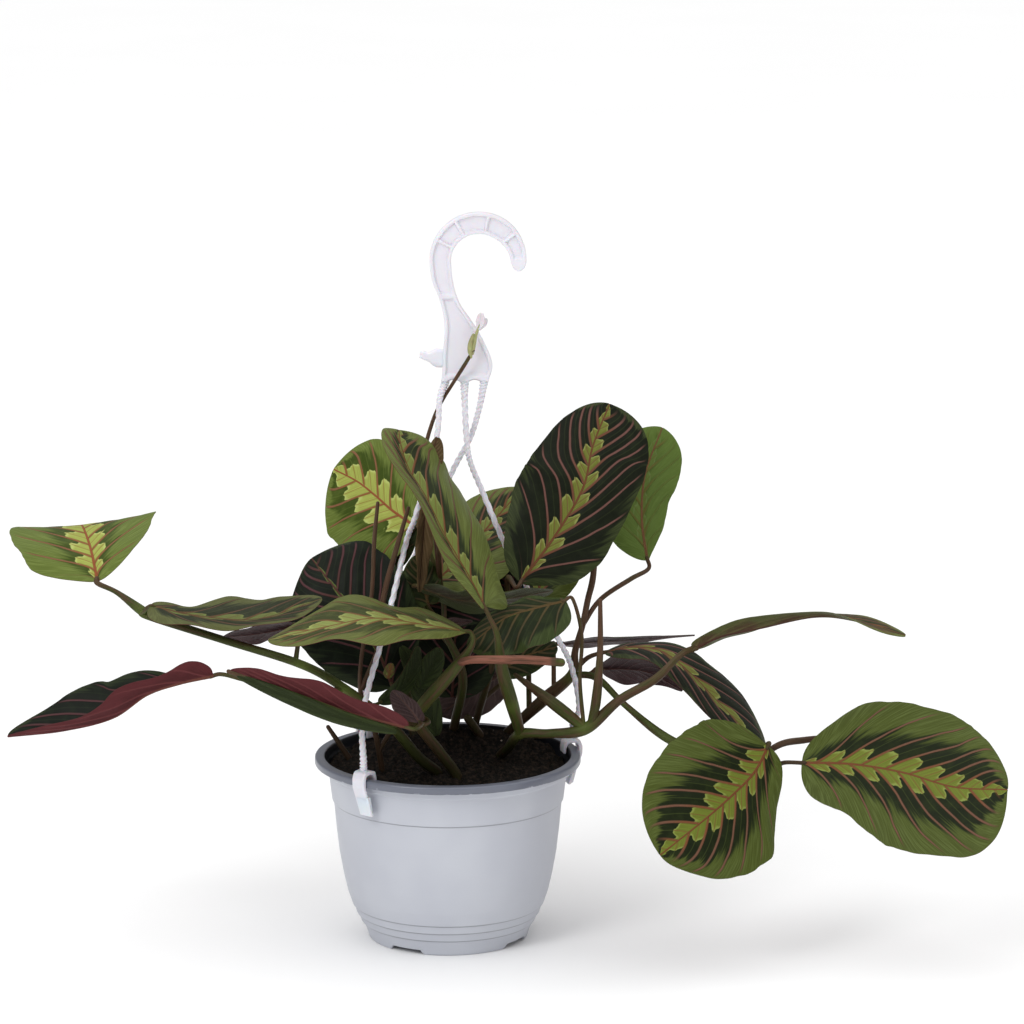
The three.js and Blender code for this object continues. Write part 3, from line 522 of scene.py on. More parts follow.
def leaf_under(name, skin, shade, vein, rib, gloss=0.45):
    """The underside: a deep skin with a dull satin sheen that darkens in clouds towards the rib,
    with raised veins."""
    material, tree = start_material(name)
    f = leaf_fields(tree)
    cloud = noise(tree, f["spot"], 14.3, 3.0)
    inner = scaled(tree, f["reach"], -0.45, cloud)
    colour = mix(tree, ramp(tree, inner, 0.15, 0.5), skin, shade)
    streak = scaled(tree, f["fine"], 0.4)
    colour = mix(tree, streak, colour, vein)
    side, _, middle = vein_masks(tree, f, 0.8)
    side = scaled(tree, side, 0.75)
    colour = mix(tree, side, colour, vein)
    colour = mix(tree, middle, colour, rib)
    height = scaled(tree, side, 0.8, f["fine"])
    height = scaled(tree, middle, 1.0, height)
    finish_material(tree, colour, gloss, (height, 0.6, 0.5), Specular_IOR_Level=0.09)
    return material


# Every upper side is a thin waxy skin over soft flesh: a broad, weak satin sheen that follows the
# quilting between the veins, never a sharp highlight

RED_VEINS = dict(vein="#6a4a3a", vein_low="#70452b", rib="#6c4127", outline="#2e2216")
MATURE_LIME = dict(lime=("#5f6926", "#6d772c"), lime_edge="#7f8a44")

tops = {
    # Near black green, on which the red veins barely lift off
    "deep": leaf_top("maranta_leaf_oldest_deep_satin", margin="#232b19", streak="#2e3721",
                     dark=("#0e130b", "#151c10"), lime=("#4e592a", "#5a6431"),
                     lime_edge="#616c38", vein="#4e3032", vein_low="#4a2d29", rib="#4c2e27",
                     outline="#1a1511", notch=0.1),
    # Almost black patches against clear pink-brown veins and a lime feather
    "dark": leaf_top("maranta_leaf_mature_dark_satin", margin="#2c331b", streak="#3c4427",
                     dark=("#12160b", "#191e10"), lime=("#5f6426", "#6f7538"),
                     lime_edge="#848a4c", vein="#684740", vein_low="#643f2e", rib="#623d27",
                     outline="#221913", notch=0.15),
    # Grass-green margin round dark patches, the plant's commonest look
    "mid": leaf_top("maranta_leaf_mid_green_satin", margin="#424b1c", streak="#566130",
                    dark=("#161d0a", "#1f270e"), **MATURE_LIME, **RED_VEINS),
    # A leaf under others: even deep green, its pattern only hinted at
    "shaded": leaf_top("maranta_leaf_inner_deep_satin", margin="#303a1b", streak="#3d4826",
                       dark=("#1a210e", "#222a12"), **MATURE_LIME, vein="#443c28",
                       vein_low="#4b4027", rib="#534227", outline="#20250f"),
    # Young and lit: yellow-green, with the strongest lime band and light green patches
    "bright": leaf_top("maranta_leaf_young_bright_satin", margin="#576429", streak="#6a783a",
                       dark=("#364411", "#44511c"), lime=("#8c9243", "#9ba552"),
                       lime_edge="#a8b165", vein="#7a5339", vein_low="#80502f", rib="#854a2c",
                       outline="#4b3d1c", notch=0.55),
    # Young, seen from its side: green with soft olive patches
    "fresh": leaf_top("maranta_leaf_young_green_satin", margin="#555b2c", streak="#666d39",
                      dark=("#363c1a", "#434921"), lime=("#767f42", "#838c4a"),
                      lime_edge="#8e9755", vein="#6b4f36", vein_low="#71502f", rib="#73512e",
                      outline="#3d3319", notch=0.45),
    # Lit through from behind: flat light green, its pattern washed out
    "pale": leaf_top("maranta_leaf_young_pale_satin", margin="#53662c", streak="#5d7135",
                     dark=("#485a25", "#4f612a"), lime=("#56682f", "#5d6f34"),
                     lime_edge="#627540", vein="#57642c", vein_low="#5d5a2a", rib="#6d4d33",
                     outline="#4e5f28", notch=0.6),
    # Older, dulled to olive with broad pale streaks
    "olive": leaf_top("maranta_leaf_olive_satin", margin="#596131", streak="#6c7640",
                      dark=("#262d1a", "#303722"), lime=("#677037", "#747e40"),
                      lime_edge="#838b4f", vein="#67493a", vein_low="#6e4930", rib="#6c472c",
                      outline="#3a2b1c"),
    # Olive at a low angle: little contrast, brown veins
    "muted": leaf_top("maranta_leaf_olive_shaded_satin", margin="#4e512c", streak="#5a5f36",
                      dark=("#242916", "#2d321d"), lime=("#586030", "#626a37"),
                      lime_edge="#6a723e", vein="#54402f", vein_low="#5a4129", rib="#5a4129",
                      outline="#2c2417"),
    # Narrow sheath leaves: plain green with no feather and veins only a shade darker
    "blade": leaf_top("maranta_sheath_leaf_green", margin="#2d361a", streak="#343e20",
                      dark=("#272f18", "#2d361b"), lime=("#374222", "#3e4928"),
                      lime_edge="#434e2d", vein="#262e17", vein_low="#262e17", rib="#262e17",
                      outline="#2a3319"),
}

unders = {
    # The common underside: wine red, with a dull sheen
    "wine": leaf_under("maranta_leaf_underside_wine_red", "#4f2225", "#3f1a1c", "#633334", "#633a30"),
    # A leaf whose red has gone: grey green with brown clouds
    "grey": leaf_under("maranta_leaf_underside_grey_green", "#464d33", "#443a31", "#5a5d45",
                       "#5e4f38"),
    # Olive that blushes red brown towards the rib
    "reddish": leaf_under("maranta_leaf_underside_olive_and_red", "#4d5330", "#462f27", "#5c5637",
                          "#4b3128"),
    # Wine red in full shade, almost black
    "deep_wine": leaf_under("maranta_leaf_underside_deep_wine", "#2d1013", "#220c0e", "#3a1c1d",
                            "#42241e"),
    # Greyish purple, dull and cool beside the wine red
    "purple": leaf_under("maranta_leaf_underside_grey_purple", "#40302f", "#342627", "#524241",
                         "#57413b"),
    # A grey purple underside painted pale, as painted light on a leaf turned away and down: mauve with
    # brown veins
    "painted_light_purple": leaf_under("maranta_leaf_underside_purple_painted_light", "#6e5c59", "#584745", "#7a6863",
                        "#7a6058"),
    # Withered tissue: papery brown and matt
    "dry": leaf_under("maranta_leaf_withered_brown", "#53432a", "#3c2e1d", "#66533a", "#4c3626",
                      gloss=0.7),
}


# Other materials

def stem_material():
    """Petiole and stem skin: red brown where old, dark then bright green where young, with long
    red-brown flecks along it, fresh green at the joints and painted shade darkening it down by the
    soil. Below zero the tone blushes pink. Its smooth skin shows a thin soft line of light along each
    stem. The fields "round_x", "round_y" and "run" are the place on the stem: the turn round it as a
    cosine and a sine, and the millimetres along it."""
    material, tree = start_material("maranta_stem_skin_satin")
    spot = object_place(tree)
    tone, joint, *place_on_stem = [field(tree, key)
                                   for key in ("tone", "joint", "round_x", "round_y", "run")]

    # Flecks a stem's radius wide and 20 mm long, and lines a fifth of it wide and 8 mm long
    drawn = add(tree, "CombineXYZ", *place_on_stem)
    long_fleck = add(tree, "Mapping", drawn, None, None, (1.0, 1.0, 0.05))
    fine_line = add(tree, "Mapping", drawn, None, None, (5.0, 5.0, 0.12))
    cloud = noise(tree, spot, 8.33, 4.0)
    shift = scaled(tree, cloud, 0.7, -0.35)
    tone = added(tree, tone, shift)
    colour = mix(tree, ramp(tree, tone, -0.7, -0.1), "#7b4f40", "#523d2e")
    colour = mix(tree, ramp(tree, tone, 0.0, 0.5), colour, "#3c431d")
    colour = mix(tree, ramp(tree, tone, 0.55, 1.0), colour, "#4c5727")
    fleck = add(tree, "MapRange", add(tree, "TexNoise", long_fleck, 1.0, 3.0), 0.48, 0.6, 0.0, 0.75)
    colour = mix(tree, fleck, colour, "#50372a")
    line = add(tree, "MapRange", add(tree, "TexNoise", fine_line, 1.0, 2.0), 0.5, 0.66, 0.0, 0.5)
    colour = mix(tree, line, colour, "#2c2b16")
    joint = scaled(tree, joint, 0.8)
    colour = mix(tree, joint, colour, "#56652a")
    # Painted shade: near the soil, under the leaves and the pot's rim, the stems go almost black
    height = add(tree, "SeparateXYZ", spot, out=2)
    low = ramp(tree, height, 0.135, 0.1, 0.0, 0.6)
    colour = mix(tree, low, colour, "#211d14")
    finish_material(tree, colour, 0.45, (line, 0.5, 0.3), Specular_IOR_Level=0.12)
    return material


def pot_material():
    """Injection-moulded polypropylene in two layers: grey-white outside, dark grey inside and over the
    rim, where the paler layer ends in a slightly ragged line under the lip. Down the inside the dark
    grey is painted near black as the shade in the pot. The grooves are painted darker grey as the
    shade under their ledges. The wall gives a broad soft glow, the smoother lip a narrower one. The
    mould's grain is finer than a pixel, and is drawn at 1.1 mm so that it shows."""
    material, tree = start_material("moulded_polypropylene_two_tone")
    spot = object_place(tree)
    zone = field(tree, "zone")
    grain = noise(tree, spot, 1.11, 2.0)
    cloud = noise(tree, spot, 40, 2.0)
    outside = mix(tree, ramp(tree, cloud, 0.35, 0.7), "#b8bbc4", "#bec1c9")
    rag = noise(tree, spot, 3.85, 3.0)
    rag = scaled(tree, rag, 0.5, zone)
    dark = ramp(tree, rag, 0.9, 1.0)
    # Dark grey plastic, painted near black down the inside as the shade in the pot
    inner = ramp(tree, zone, 1.2, 1.24)
    grey = mix(tree, inner, "#666a76", "#191b21")
    colour = mix(tree, dark, outside, grey)
    # Painted shade: the grooves are drawn darker grey, as the shade under their ledges
    groove_shade = ramp(tree, zone, -0.05, -0.45, 0.0, 0.75)
    colour = mix(tree, groove_shade, colour, "#85878e")
    rough = add(tree, "MapRange", dark, 0.0, 1.0, 0.5, 0.3)
    finish_material(tree, colour, rough, (grain, 0.15, 0.2))
    return material


def hanger_material():
    """Natural polypropylene, injection moulded: milky white, and light passes a little way in, so
    that edges look soft and the sunk web is hardly darker than the rims."""
    material, tree = start_material("natural_polypropylene_milky_white")
    spot = object_place(tree)
    cloud = noise(tree, spot, 11.1, 3.0)
    colour = mix(tree, cloud, "#d4d4dc", "#e2e2e9")
    rough = add(tree, "MapRange", cloud, 0.3, 0.7, 0.28, 0.42)
    finish_material(tree, colour, rough, (noise(tree, spot, 1.67, 2.0), 0.2, 0.2),
                    Subsurface_Weight=0.25, Subsurface_Scale=0.004)
    return material


def soil_material():
    """Damp peat: near black and without shine, with brown crumbs and a few pale specks."""
    material, tree = start_material("damp_peat_soil")
    spot = object_place(tree)
    crumbs = noise(tree, spot, 2.63, 6.0, 0.7)
    colour = mix(tree, ramp(tree, crumbs, 0.42, 0.72), "#141311", "#3b3129")
    speck = add(tree, "TexVoronoi", spot, scale_of(6.25))
    speck = ramp(tree, speck, 0.12, 0.05)
    where = ramp(tree, noise(tree, spot, 16.7), 0.62, 0.68)
    speck = scaled(tree, speck, where)
    colour = mix(tree, speck, colour, "#9c9388")
    finish_material(tree, colour, 0.95, (crumbs, 1.0, 1.2), Specular_IOR_Level=0.08)
    return material


def petal_material(name, base, tip):
    """A thin soft petal or bract, clouded with a paler tone, through which light glows a little."""
    material, tree = start_material(name)
    spot = object_place(tree)
    cloud = noise(tree, spot, 3.33, 3.0)
    colour = mix(tree, cloud, base, tip)
    finish_material(tree, colour, 0.5, (cloud, 0.3, 0.3), Subsurface_Weight=0.2,
                    Subsurface_Scale=0.002)
    return material


stem_skin = stem_material()
pot_plastic = pot_material()
hanger_plastic = hanger_material()
peat = soil_material()
bract_green = petal_material("bloom_bract_yellow_green_and_brown", "#6f6446", "#b2b87a")
petal_lilac = petal_material("bloom_petal_pale_lilac", "#cdc5cd", "#e0dbdf")


# Leaf shapes
# A blade follows its midrib from the petiole joint to the tip, and each place along it is two arcs,
# left and right of the rib, each with a fold at the rib and a curl outwards, in degrees. Lists hold
# values at even steps along the rib: "rib" its points, "face" where the upper side looks, "left"
# and "right" the half widths before the ends are rounded off, which "peak" and "round" shape.
# "lobe" is how far the margin reaches back behind the joint and "tip" how far on past the rib's
# end. "wave" and "waves" are the ripple's height and number, and "phase" shifts it and the veins.
# "top" and "under" name the skins, and "count", "band" and "patch" are the number of side veins and
# the reach of the lime band and of the dark patches.

# The half width that a blade's ends keep, its thickness, and the rows and columns of its grid for
# each millimetre along the rib and across
BLADE_END_HALF = 0.9
BLADE_THICKNESS = 0.62
ROWS_A_MM = 0.95
COLUMNS_A_MM = 0.62

# Uneven margin: depth as a share of the half width, waves, shift by phase and shift by side
MARGIN_WAVES = ((0.006, 6.3, 3, 0.4), (0.003, 14.7, 5, 0.7))

BLADE = dict(left=[26], right=[26], fold_left=[4], fold_right=[4], curl_left=[-14],
             curl_right=[-14], peak=0.45, round=0.6, lobe_left=6, lobe_right=6, tip_left=0,
             tip_right=0, wave=1.6, waves=2.5, phase=0, top="mid", under="wine", count=7,
             band=0.25, patch=0.52)

BLADES = {
    "leaf_top_large": dict(
        rib=[[41, 2, 203.6], [60.4, 6, 229.4], [75.9, 12, 255.3], [81.5, 22, 277.1],
             [91.1, 34, 299.2]],
        face=[[0, -0.95, 0.3]], left=[46, 39, 36.4, 35.9, 34, 34, 31, 32, 36],
        right=[20.5, 35.5, 34.8, 30, 28.4, 32.6, 38.6, 48, 60], tip_right=8, peak=0.5, waves=1.5,
        top="dark", count=9, phase=0.35, band=0.21, patch=0.88),
    "leaf_top_pale": dict(
        rib=[[113, 40, 208], [110, 48, 230], [112, 58, 254], [122, 70, 279]],
        face=[[0.2, -0.9, 0.35]], left=[26], right=[3, 10.7, 14.6, 15.3, 15.5, 18.7, 22.1, 26.9, 32],
        peak=0.55, phase=0.4, top="pale", count=6, band=0.2, patch=0.1),
    "leaf_back_lime": dict(
        rib=[[-19.5, 30, 230.4], [-31.9, 44, 236.2], [-41.5, 58, 241.7], [-52.5, 74, 246.9],
             [-66.5, 90, 250.9]],
        face=[[-0.5, -0.7, 0.45]], left=[50, 39.7, 34.1, 33.6, 34.9, 37.9, 43.7, 49, 56],
        right=[23, 22, 23, 25, 28, 32, 36, 43, 48], lobe_left=17, phase=0.2, top="bright",
        count=5, band=0.42, patch=0.54),
    "leaf_front_arching": dict(
        rib=[[20.8, -52, 201.8], [13.6, -51, 216], [6.7, -50, 227.8], [-1.5, -48, 241.9],
             [-11.5, -43, 261.4], [-20.5, -36, 275], [-25, -28, 286.5], [-26.5, -19, 294]],
        face=[[0.75, -0.45, 0.48], [0.75, -0.45, 0.48], [0.75, -0.45, 0.48],
              [0.35, -0.8, 0.5]], left=[9, 12, 14.5, 15, 15, 16, 17, 20, 26],
        right=[76, 50, 43, 43, 44, 45, 43, 39, 56], fold_left=[22],
        fold_right=[0, 1, 6, 8, 9, 7], curl_left=[-25], curl_right=[-25], round=0.45,
        lobe_right=36, tip_right=6, tip_left=2, waves=1.5, top="olive", count=7.5, phase=0.4,
        band=0.21, patch=0.34),
    "leaf_left_dark": dict(
        rib=[[-31, -4, 145], [-40, 0, 166], [-54, 6, 187], [-67, 14, 202], [-77, 26, 212]],
        face=[[-0.15, -0.8, 0.55]], left=[28.4, 30.4, 32.3, 32.8, 34.4, 35.7, 34.6, 30, 24],
        right=[20.3, 24, 29.2, 32.8, 34.5, 36.4, 40.5, 50, 58], round=0.54, phase=0.6, top="deep",
        count=7.5, band=0.045, patch=0.9),
    "leaf_far_left_low": dict(
        rib=[[-164, -26, 196], [-137, -30, 191], [-104, -32, 190], [-69, -30, 201]],
        face=[[0, -0.12, 1]], left=[14, 11.2, 12, 19.2, 26, 29.6, 28.7, 25, 28],
        right=[34, 25.1, 17.8, 14.6, 11.5, 10.5, 16.3, 23.8, 32], fold_left=[14], phase=0.1,
        top="muted", count=5, band=0.2, patch=0.6),
    "leaf_left_bright": dict(
        rib=[[10, -54, 188], [-15, -62, 194], [-39, -66, 198], [-64, -68, 194], [-97, -66, 186]],
        face=[[0, -0.16, 0.98], [0, -0.22, 0.97], [0, -0.26, 0.96], [0, -0.16, 0.98]],
        left=[5.6, 14.4, 20.3, 23.3, 25.8, 24, 19, 26, 34],
        right=[45, 38, 29, 23, 25, 35, 43, 36, 20], phase=0.5, top="fresh", count=6, band=0.3,
        patch=0.55),
    "leaf_far_left_tip": dict(
        rib=[[-195, -10, 207], [-200, 8, 221], [-207, 34, 229], [-213, 72, 219]],
        face=[[-0.08, -0.8, 0.55], [-0.03, -0.5, 0.84], [-0.05, 0.2, 1]],
        left=[15.6, 35.5, 41.5, 38.4, 38.9, 42.5, 46, 44, 34],
        right=[14.1, 21.9, 28.4, 32.7, 36.5, 43, 46, 42, 32], fold_left=[0], fold_right=[0],
        curl_left=[6], curl_right=[4], peak=0.5, wave=1.2, top="bright", phase=0.3, band=0.3,
        patch=0.42),
    "leaf_left_twisted": dict(
        rib=[[-129, -46, 161], [-147, -50, 158], [-165, -52, 152], [-184, -53, 139],
             [-211, -50, 131], [-243, -44, 126]],
        face=[[0, 0.1, 1], [0, -0.3, 0.95]], left=[15, 14, 10, 8.5, 12, 12, 9.5, 8, 6],
        right=[14, 14, 12, 16, 22, 27, 27, 25, 20], fold_left=[85, 70, 62, 58, 55],
        fold_right=[10, 25, 42, 50, 50], curl_left=[25], top="deep", count=6, band=0.05, patch=0.8),
    "leaf_left_rolled": dict(
        rib=[[-21, -76, 139.5], [-55, -76, 149], [-88, -72, 159.8], [-118, -66, 168.5]],
        face=[[0, 0, 1]], left=[10], right=[12], fold_left=[60], fold_right=[15], curl_left=[30],
        top="dark"),
    "leaf_centre_under": dict(
        rib=[[-14, 9, 199], [7, 10, 192], [32, 8, 193], [59, 6, 198]],
        face=[[0, 0.45, 0.9]], left=[14, 22, 24], right=[24], phase=0.7, under="grey"),
    "leaf_centre_green": dict(
        rib=[[-9, 36, 195], [7, 44, 208], [24, 54, 226], [42, 60, 245]],
        face=[[-0.2, -0.6, 0.78]], left=[28], right=[28], phase=0.3, top="olive", patch=0.4),
    "leaf_centre_dark": dict(
        rib=[[66.2, -20, 197.7], [48.4, -24, 194.1], [31.8, -26, 188.8], [11.7, -26, 172.9]],
        face=[[-0.1, -0.7, 0.7]], left=[30, 25, 22.5, 22.5, 23.5, 25, 27, 29, 32],
        right=[4, 5, 7, 8, 8, 8, 9, 12, 14], top="shaded", count=6, band=0.03, patch=0.7),
    "leaf_right_folded": dict(
        rib=[[64, 50, 157], [82.3, 52, 158], [107.2, 54, 158.8], [141, 56, 160.6]],
        face=[[0, 0.4, 0.92]], left=[10, 13, 14, 14, 13, 11, 8, 6, 5],
        right=[10, 13, 14, 14, 13, 11, 8, 6, 5], wave=0.6, top="dark", under="purple"),
    "leaf_right_drooping": dict(
        rib=[[89.6, 14, 160.5], [103.6, 10, 164], [120.5, 4, 162.9], [136.2, -4, 152.3],
             [153.1, -10, 135.6], [178, -16, 110.8]],
        face=[[0, -0.25, 0.97], [0.3, -0.3, 0.9], [0.7, -0.3, 0.65]],
        left=[6, 7, 9, 13.5, 18, 26, 40, 52, 56], right=[8, 12, 14, 14.5, 13, 16.5, 23.6, 30, 34],
        wave=1, top="dark", count=6.5, band=0.26, patch=0.8),
    "leaf_right_burgundy": dict(
        rib=[[87.5, 30, 147.3], [100.4, 28, 147.8], [115.1, 25, 145.9], [133, 22, 136.2]],
        face=[[0, 0.6, 0.8]], left=[18, 20, 21, 20, 19, 17, 13, 9, 7],
        right=[10, 16, 21, 23, 24, 24, 21, 15, 10], wave=0.8, under="deep_wine"),
    "leaf_low_right_round": dict(
        rib=[[178.4, -38, 119], [170, -50, 107], [157, -66, 98], [140.6, -84, 88.7],
             [116.8, -100, 73.9]],
        face=[[0.42, -0.74, 0.42]], left=[23.7, 22.5, 23.7, 30.5, 39, 40.5, 42.8, 41.9, 30],
        right=[60, 54, 46.2, 42.9, 43.1, 45, 48.2, 54.2, 58], peak=0.5, round=0.48, lobe_left=3,
        lobe_right=12, waves=1.5, count=8, phase=0.3, band=0.27, patch=0.5),
    "leaf_low_right_large": dict(
        rib=[[197.4, -40, 110], [224.6, -46, 110.7], [252.3, -54, 108], [279.7, -64, 102.4],
             [307.9, -75, 103.8]],
        face=[[0.05, -0.75, 0.65]], left=[41, 41.4, 48.8, 46.2, 43.5, 44.5, 45.3, 45.2, 36],
        right=[55, 42.6, 36.3, 39, 42.6, 44.5, 47.6, 58.9, 72], tip_right=12, peak=0.54, round=0.5,
        waves=1.5, count=8.5, phase=0.5, band=0.25, patch=0.5),
    "leaf_right_reaching": dict(
        rib=[[138, -14, 169.2], [153.1, -20, 177.9], [174.1, -26, 183.9], [203.9, -30, 191.1],
             [226.6, -34, 189.6], [253.9, -36, 181.6]],
        face=[[0, 0.3, 0.95], [0, 0.1, 1], [0, -0.3, 0.95]],
        left=[14, 13.5, 14, 14, 12, 8, 13, 17, 17], right=[11, 8, 8, 9, 9, 8, 12, 14, 10],
        fold_right=[40, 45, 5], wave=0.8, top="olive", under="reddish", band=0.1),
    "leaf_low_purple": dict(
        rib=[[29, 62, 136], [13, 64, 125], [-6, 64, 112]],
        face=[[0.2, 0.8, 0.5]], left=[16], right=[16], wave=0.8, under="painted_light_purple"),
    "leaf_narrow_curved": dict(
        rib=[[-38, -22, 140], [-27, -24, 147], [-19, -26, 160], [-16, -26, 173]],
        face=[[0.5, -0.8, 0.3]], left=[4.6], right=[4.6], wave=0.3, lobe_left=0, lobe_right=0,
        top="blade", band=0.0, patch=0.2),
    "leaf_purple_sheath": dict(
        rib=[[-14, -58, 138], [-21, -61, 148], [-29, -63, 157]],
        face=[[0.5, 0.8, 0.4]], left=[6.5], right=[10], wave=0.4, lobe_left=1, lobe_right=1,
        under="purple"),
    "leaf_left_shaded": dict(
        rib=[[-88, -5, 180], [-105, -9, 177], [-125, -11, 175]],
        face=[[0, 0.5, 0.85]], left=[16], right=[16], wave=0.6, under="deep_wine"),
    "leaf_dry_bract": dict(
        rib=[[-10, -12, 268], [-8.5, -13, 278], [-5, -14, 289]],
        face=[[0.4, 0.8, 0.2]], left=[6.4], right=[4.6], curl_left=[60], curl_right=[60], wave=0.2,
        lobe_left=0, lobe_right=0, under="dry"),
    "leaf_withered": dict(
        rib=[[-12, 8, 248], [-14, 5, 224], [-16, 2, 198]],
        face=[[0.3, -0.9, 0.1]], left=[4.6], right=[4.8], fold_left=[50, 20],
        fold_right=[20, 60], wave=2, lobe_left=1, lobe_right=1, top="dry", under="dry"),
    "leaf_rear_left": dict(
        rib=[[-38, 62, 168], [-46, 86, 184], [-54, 112, 188], [-60, 140, 180]],
        face=[[-0.1, -0.3, 0.95], [0, 0, 1], [0, 0.4, 0.9]], left=[24], right=[24], phase=0.4),
    "leaf_rear_centre": dict(
        rib=[[0, 72, 200], [4, 96, 214], [8, 124, 214], [12, 150, 202]],
        face=[[0, -0.4, 0.92], [0, 0, 1], [0, 0.5, 0.87]], left=[25], right=[25], phase=0.8,
        top="dark", patch=0.8),
    "leaf_rear_right": dict(
        rib=[[50, 60, 178], [55, 84, 197], [60, 112, 204], [64, 138, 198]],
        face=[[0.1, -0.5, 0.85], [0, 0, 1], [0, 0.4, 0.9]], left=[24], right=[24], phase=0.1),
}

# Leaves and sheaths deep in the crown, seen only as dark shapes between the others. They fill the
# crown's gaps in dark skins, partly as leaves there and partly as painted shade between them
INNER_BLADES = {
    "inner_back": dict(
        rib=[[2, 40, 128], [3, 45, 146], [4, 50, 166], [6, 54, 186]], face=[[0, -0.9, 0.4]],
        left=[25], right=[24], top="deep", band=0.03, count=6, patch=0.8),
    "inner_middle": dict(
        rib=[[-11, 15, 188], [-15, 18, 202], [-18, 20, 215]], face=[[0.2, -0.9, 0.3]], left=[10],
        right=[10], top="shaded", band=0.05, count=5, patch=0.6),
    "inner_upper": dict(
        rib=[[42, 34, 184], [33, 38, 195], [24, 42, 207]], face=[[0, -0.9, 0.3]], left=[10],
        right=[10], top="deep", band=0.02, count=5, patch=0.8),
    "inner_right": dict(
        rib=[[30, 32, 146], [44, 36, 153], [62, 38, 158]], face=[[0, -0.85, 0.5]], left=[10],
        right=[10], wave=0.6, top="shaded", band=0.02, count=5, patch=0.8),
    "inner_left": dict(
        rib=[[-6, -10, 118], [-11, -10, 134], [-17, -8, 152], [-26, -4, 168]],
        face=[[0.1, -0.95, 0.3]], left=[6], right=[7], wave=0.6, lobe_left=0, lobe_right=0,
        top="blade", band=0.0, patch=0.2),
    "inner_purple": dict(
        rib=[[-22, -16, 176], [-6, -12, 182], [14, -10, 184]], face=[[0.1, 0.5, 0.8]], left=[9],
        right=[10], wave=0.8, under="purple"),
    "inner_sheath": dict(
        rib=[[-15, -20, 148], [-9, -22, 160], [-4, -24, 172]], face=[[0.3, -0.9, 0.3]],
        left=[6], right=[6], wave=0.4, lobe_left=0, lobe_right=0, top="blade", band=0.0,
        patch=0.2),
    "inner_wide": dict(
        rib=[[-32, 45, 176], [-6, 42, 183], [20, 42, 186], [46, 42, 182]], face=[[0, -0.9, 0.4]],
        left=[15], right=[15], top="deep", band=0.02, count=6, patch=0.8),
    "inner_green": dict(
        rib=[[-32, 44, 204], [-27, 47, 222], [-22, 50, 239]], face=[[0, -0.95, 0.3]], left=[9],
        right=[9], top="shaded", band=0.04, count=5, patch=0.7),
    "rolled_edge": dict(
        rib=[[-27, -77, 137], [-58, -81, 146.5], [-86, -76, 156.5], [-114, -68, 166.5]],
        face=[[0, -1, 0.2]], left=[3.6], right=[3.4], wave=0.3, lobe_left=0, lobe_right=0,
        curl_left=[-40], curl_right=[-40], top="blade", band=0.0, count=3, patch=0.6),
    "small_tip": dict(
        rib=[[-32.6, -30, 156], [-31.8, -31, 160.5], [-31, -32, 165]], face=[[0.3, -0.9, 0.3]],
        left=[2.4], right=[2], wave=0.3, lobe_left=0, lobe_right=0, top="fresh", band=0.6,
        count=3, patch=0.1),
}

for group in (BLADES, INNER_BLADES):
    for name, blade in group.items():
        group[name] = {**BLADE, **blade}


def side_value(blade, key, s, t):
    """A value that differs left and right of the rib, as a curve of s."""
    left, right = curve(blade[key + "left"], s)[..., 0], curve(blade[key + "right"], s)[..., 0]
    return np.where(t >= 0, right, left)


def outline(blade, s):
    """The half width over its greatest: a half sine stretched to its peak, raised to a power."""
    stretch = np.log(0.5) / np.log(blade["peak"])
    return np.maximum(np.sin(np.pi * s ** stretch), 0) ** blade["round"]


def rib_frame(blade, s):
    """The rib's point and its directions along, across to the right and up, at s."""
    step = 1e-3
    along = unit(curve(blade["rib"], s + step) - curve(blade["rib"], s - step))
    across = unit(np.cross(along, curve(blade["face"], s)))
    return curve(blade["rib"], s), along, across, np.cross(across, along)


def blade_surface(blade, s, t):
    """The middle surface at s along the rib and t across, and the millimetres across.

    From the rib the section runs out on an arc of the half width that starts at the fold angle and
    turns by the curl. The margin is a little uneven and ripples, the basal lobes reach back behind
    the joint, and a broad tip reaches on past the rib's end.
    """
    rib, along, across, up = rib_frame(blade, s)
    sign, reach = np.where(t >= 0, 1, -1), np.abs(t)
    full = outline(blade, s)
    uneven = 1 + sum(depth * np.sin(2 * np.pi * (waves * s + shift * blade["phase"] + (t >= 0) * side))
                     for depth, waves, shift, side in MARGIN_WAVES)
    half = side_value(blade, "", s, t) * full * uneven + BLADE_END_HALF
    fold = np.radians(side_value(blade, "fold_", s, t))
    curl = side_value(blade, "curl_", s, t)
    curl = np.radians(np.where(np.abs(curl) < 0.5, 0.5, curl))
    sideways = half * (np.sin(fold + curl * reach) - np.sin(fold)) / curl
    ripple = (blade["wave"] * reach ** 3 * np.sin(np.pi * s)
              * np.sin(2 * np.pi * (blade["waves"] * s + blade["phase"] + np.where(t >= 0, 0.37, 0))))
    lift = half * (np.cos(fold) - np.cos(fold + curl * reach)) / curl + ripple
    lobe = np.where(t >= 0, blade["lobe_right"], blade["lobe_left"])
    tip = np.where(t >= 0, blade["tip_right"], blade["tip_left"])
    back = (lobe * (1 - s) ** 4 - tip * s ** 6) * reach ** 2 * full
    points = (rib + across * (sign * sideways)[..., None] + up * lift[..., None]
              - along * back[..., None])
    return points, half * t


def vein_count(blade, s, reach, right):
    """Side veins counted from the base. Along one vein the share of the rib that is left to the tip
    is the share at its start, to a power that grows from 1 at the rib to 2.8 at the margin: it
    leaves the rib steeply, bends and runs on towards the tip beside the others."""
    power = 1 + 0.8 * reach + reach ** 2
    left_over = np.maximum((1 - s) * (1 + 0.35 * reach), 1e-4)
    start = 1 - left_over ** (1 / power)
    return blade["count"] * start + (0.5 if right else 0.0) + blade["phase"]


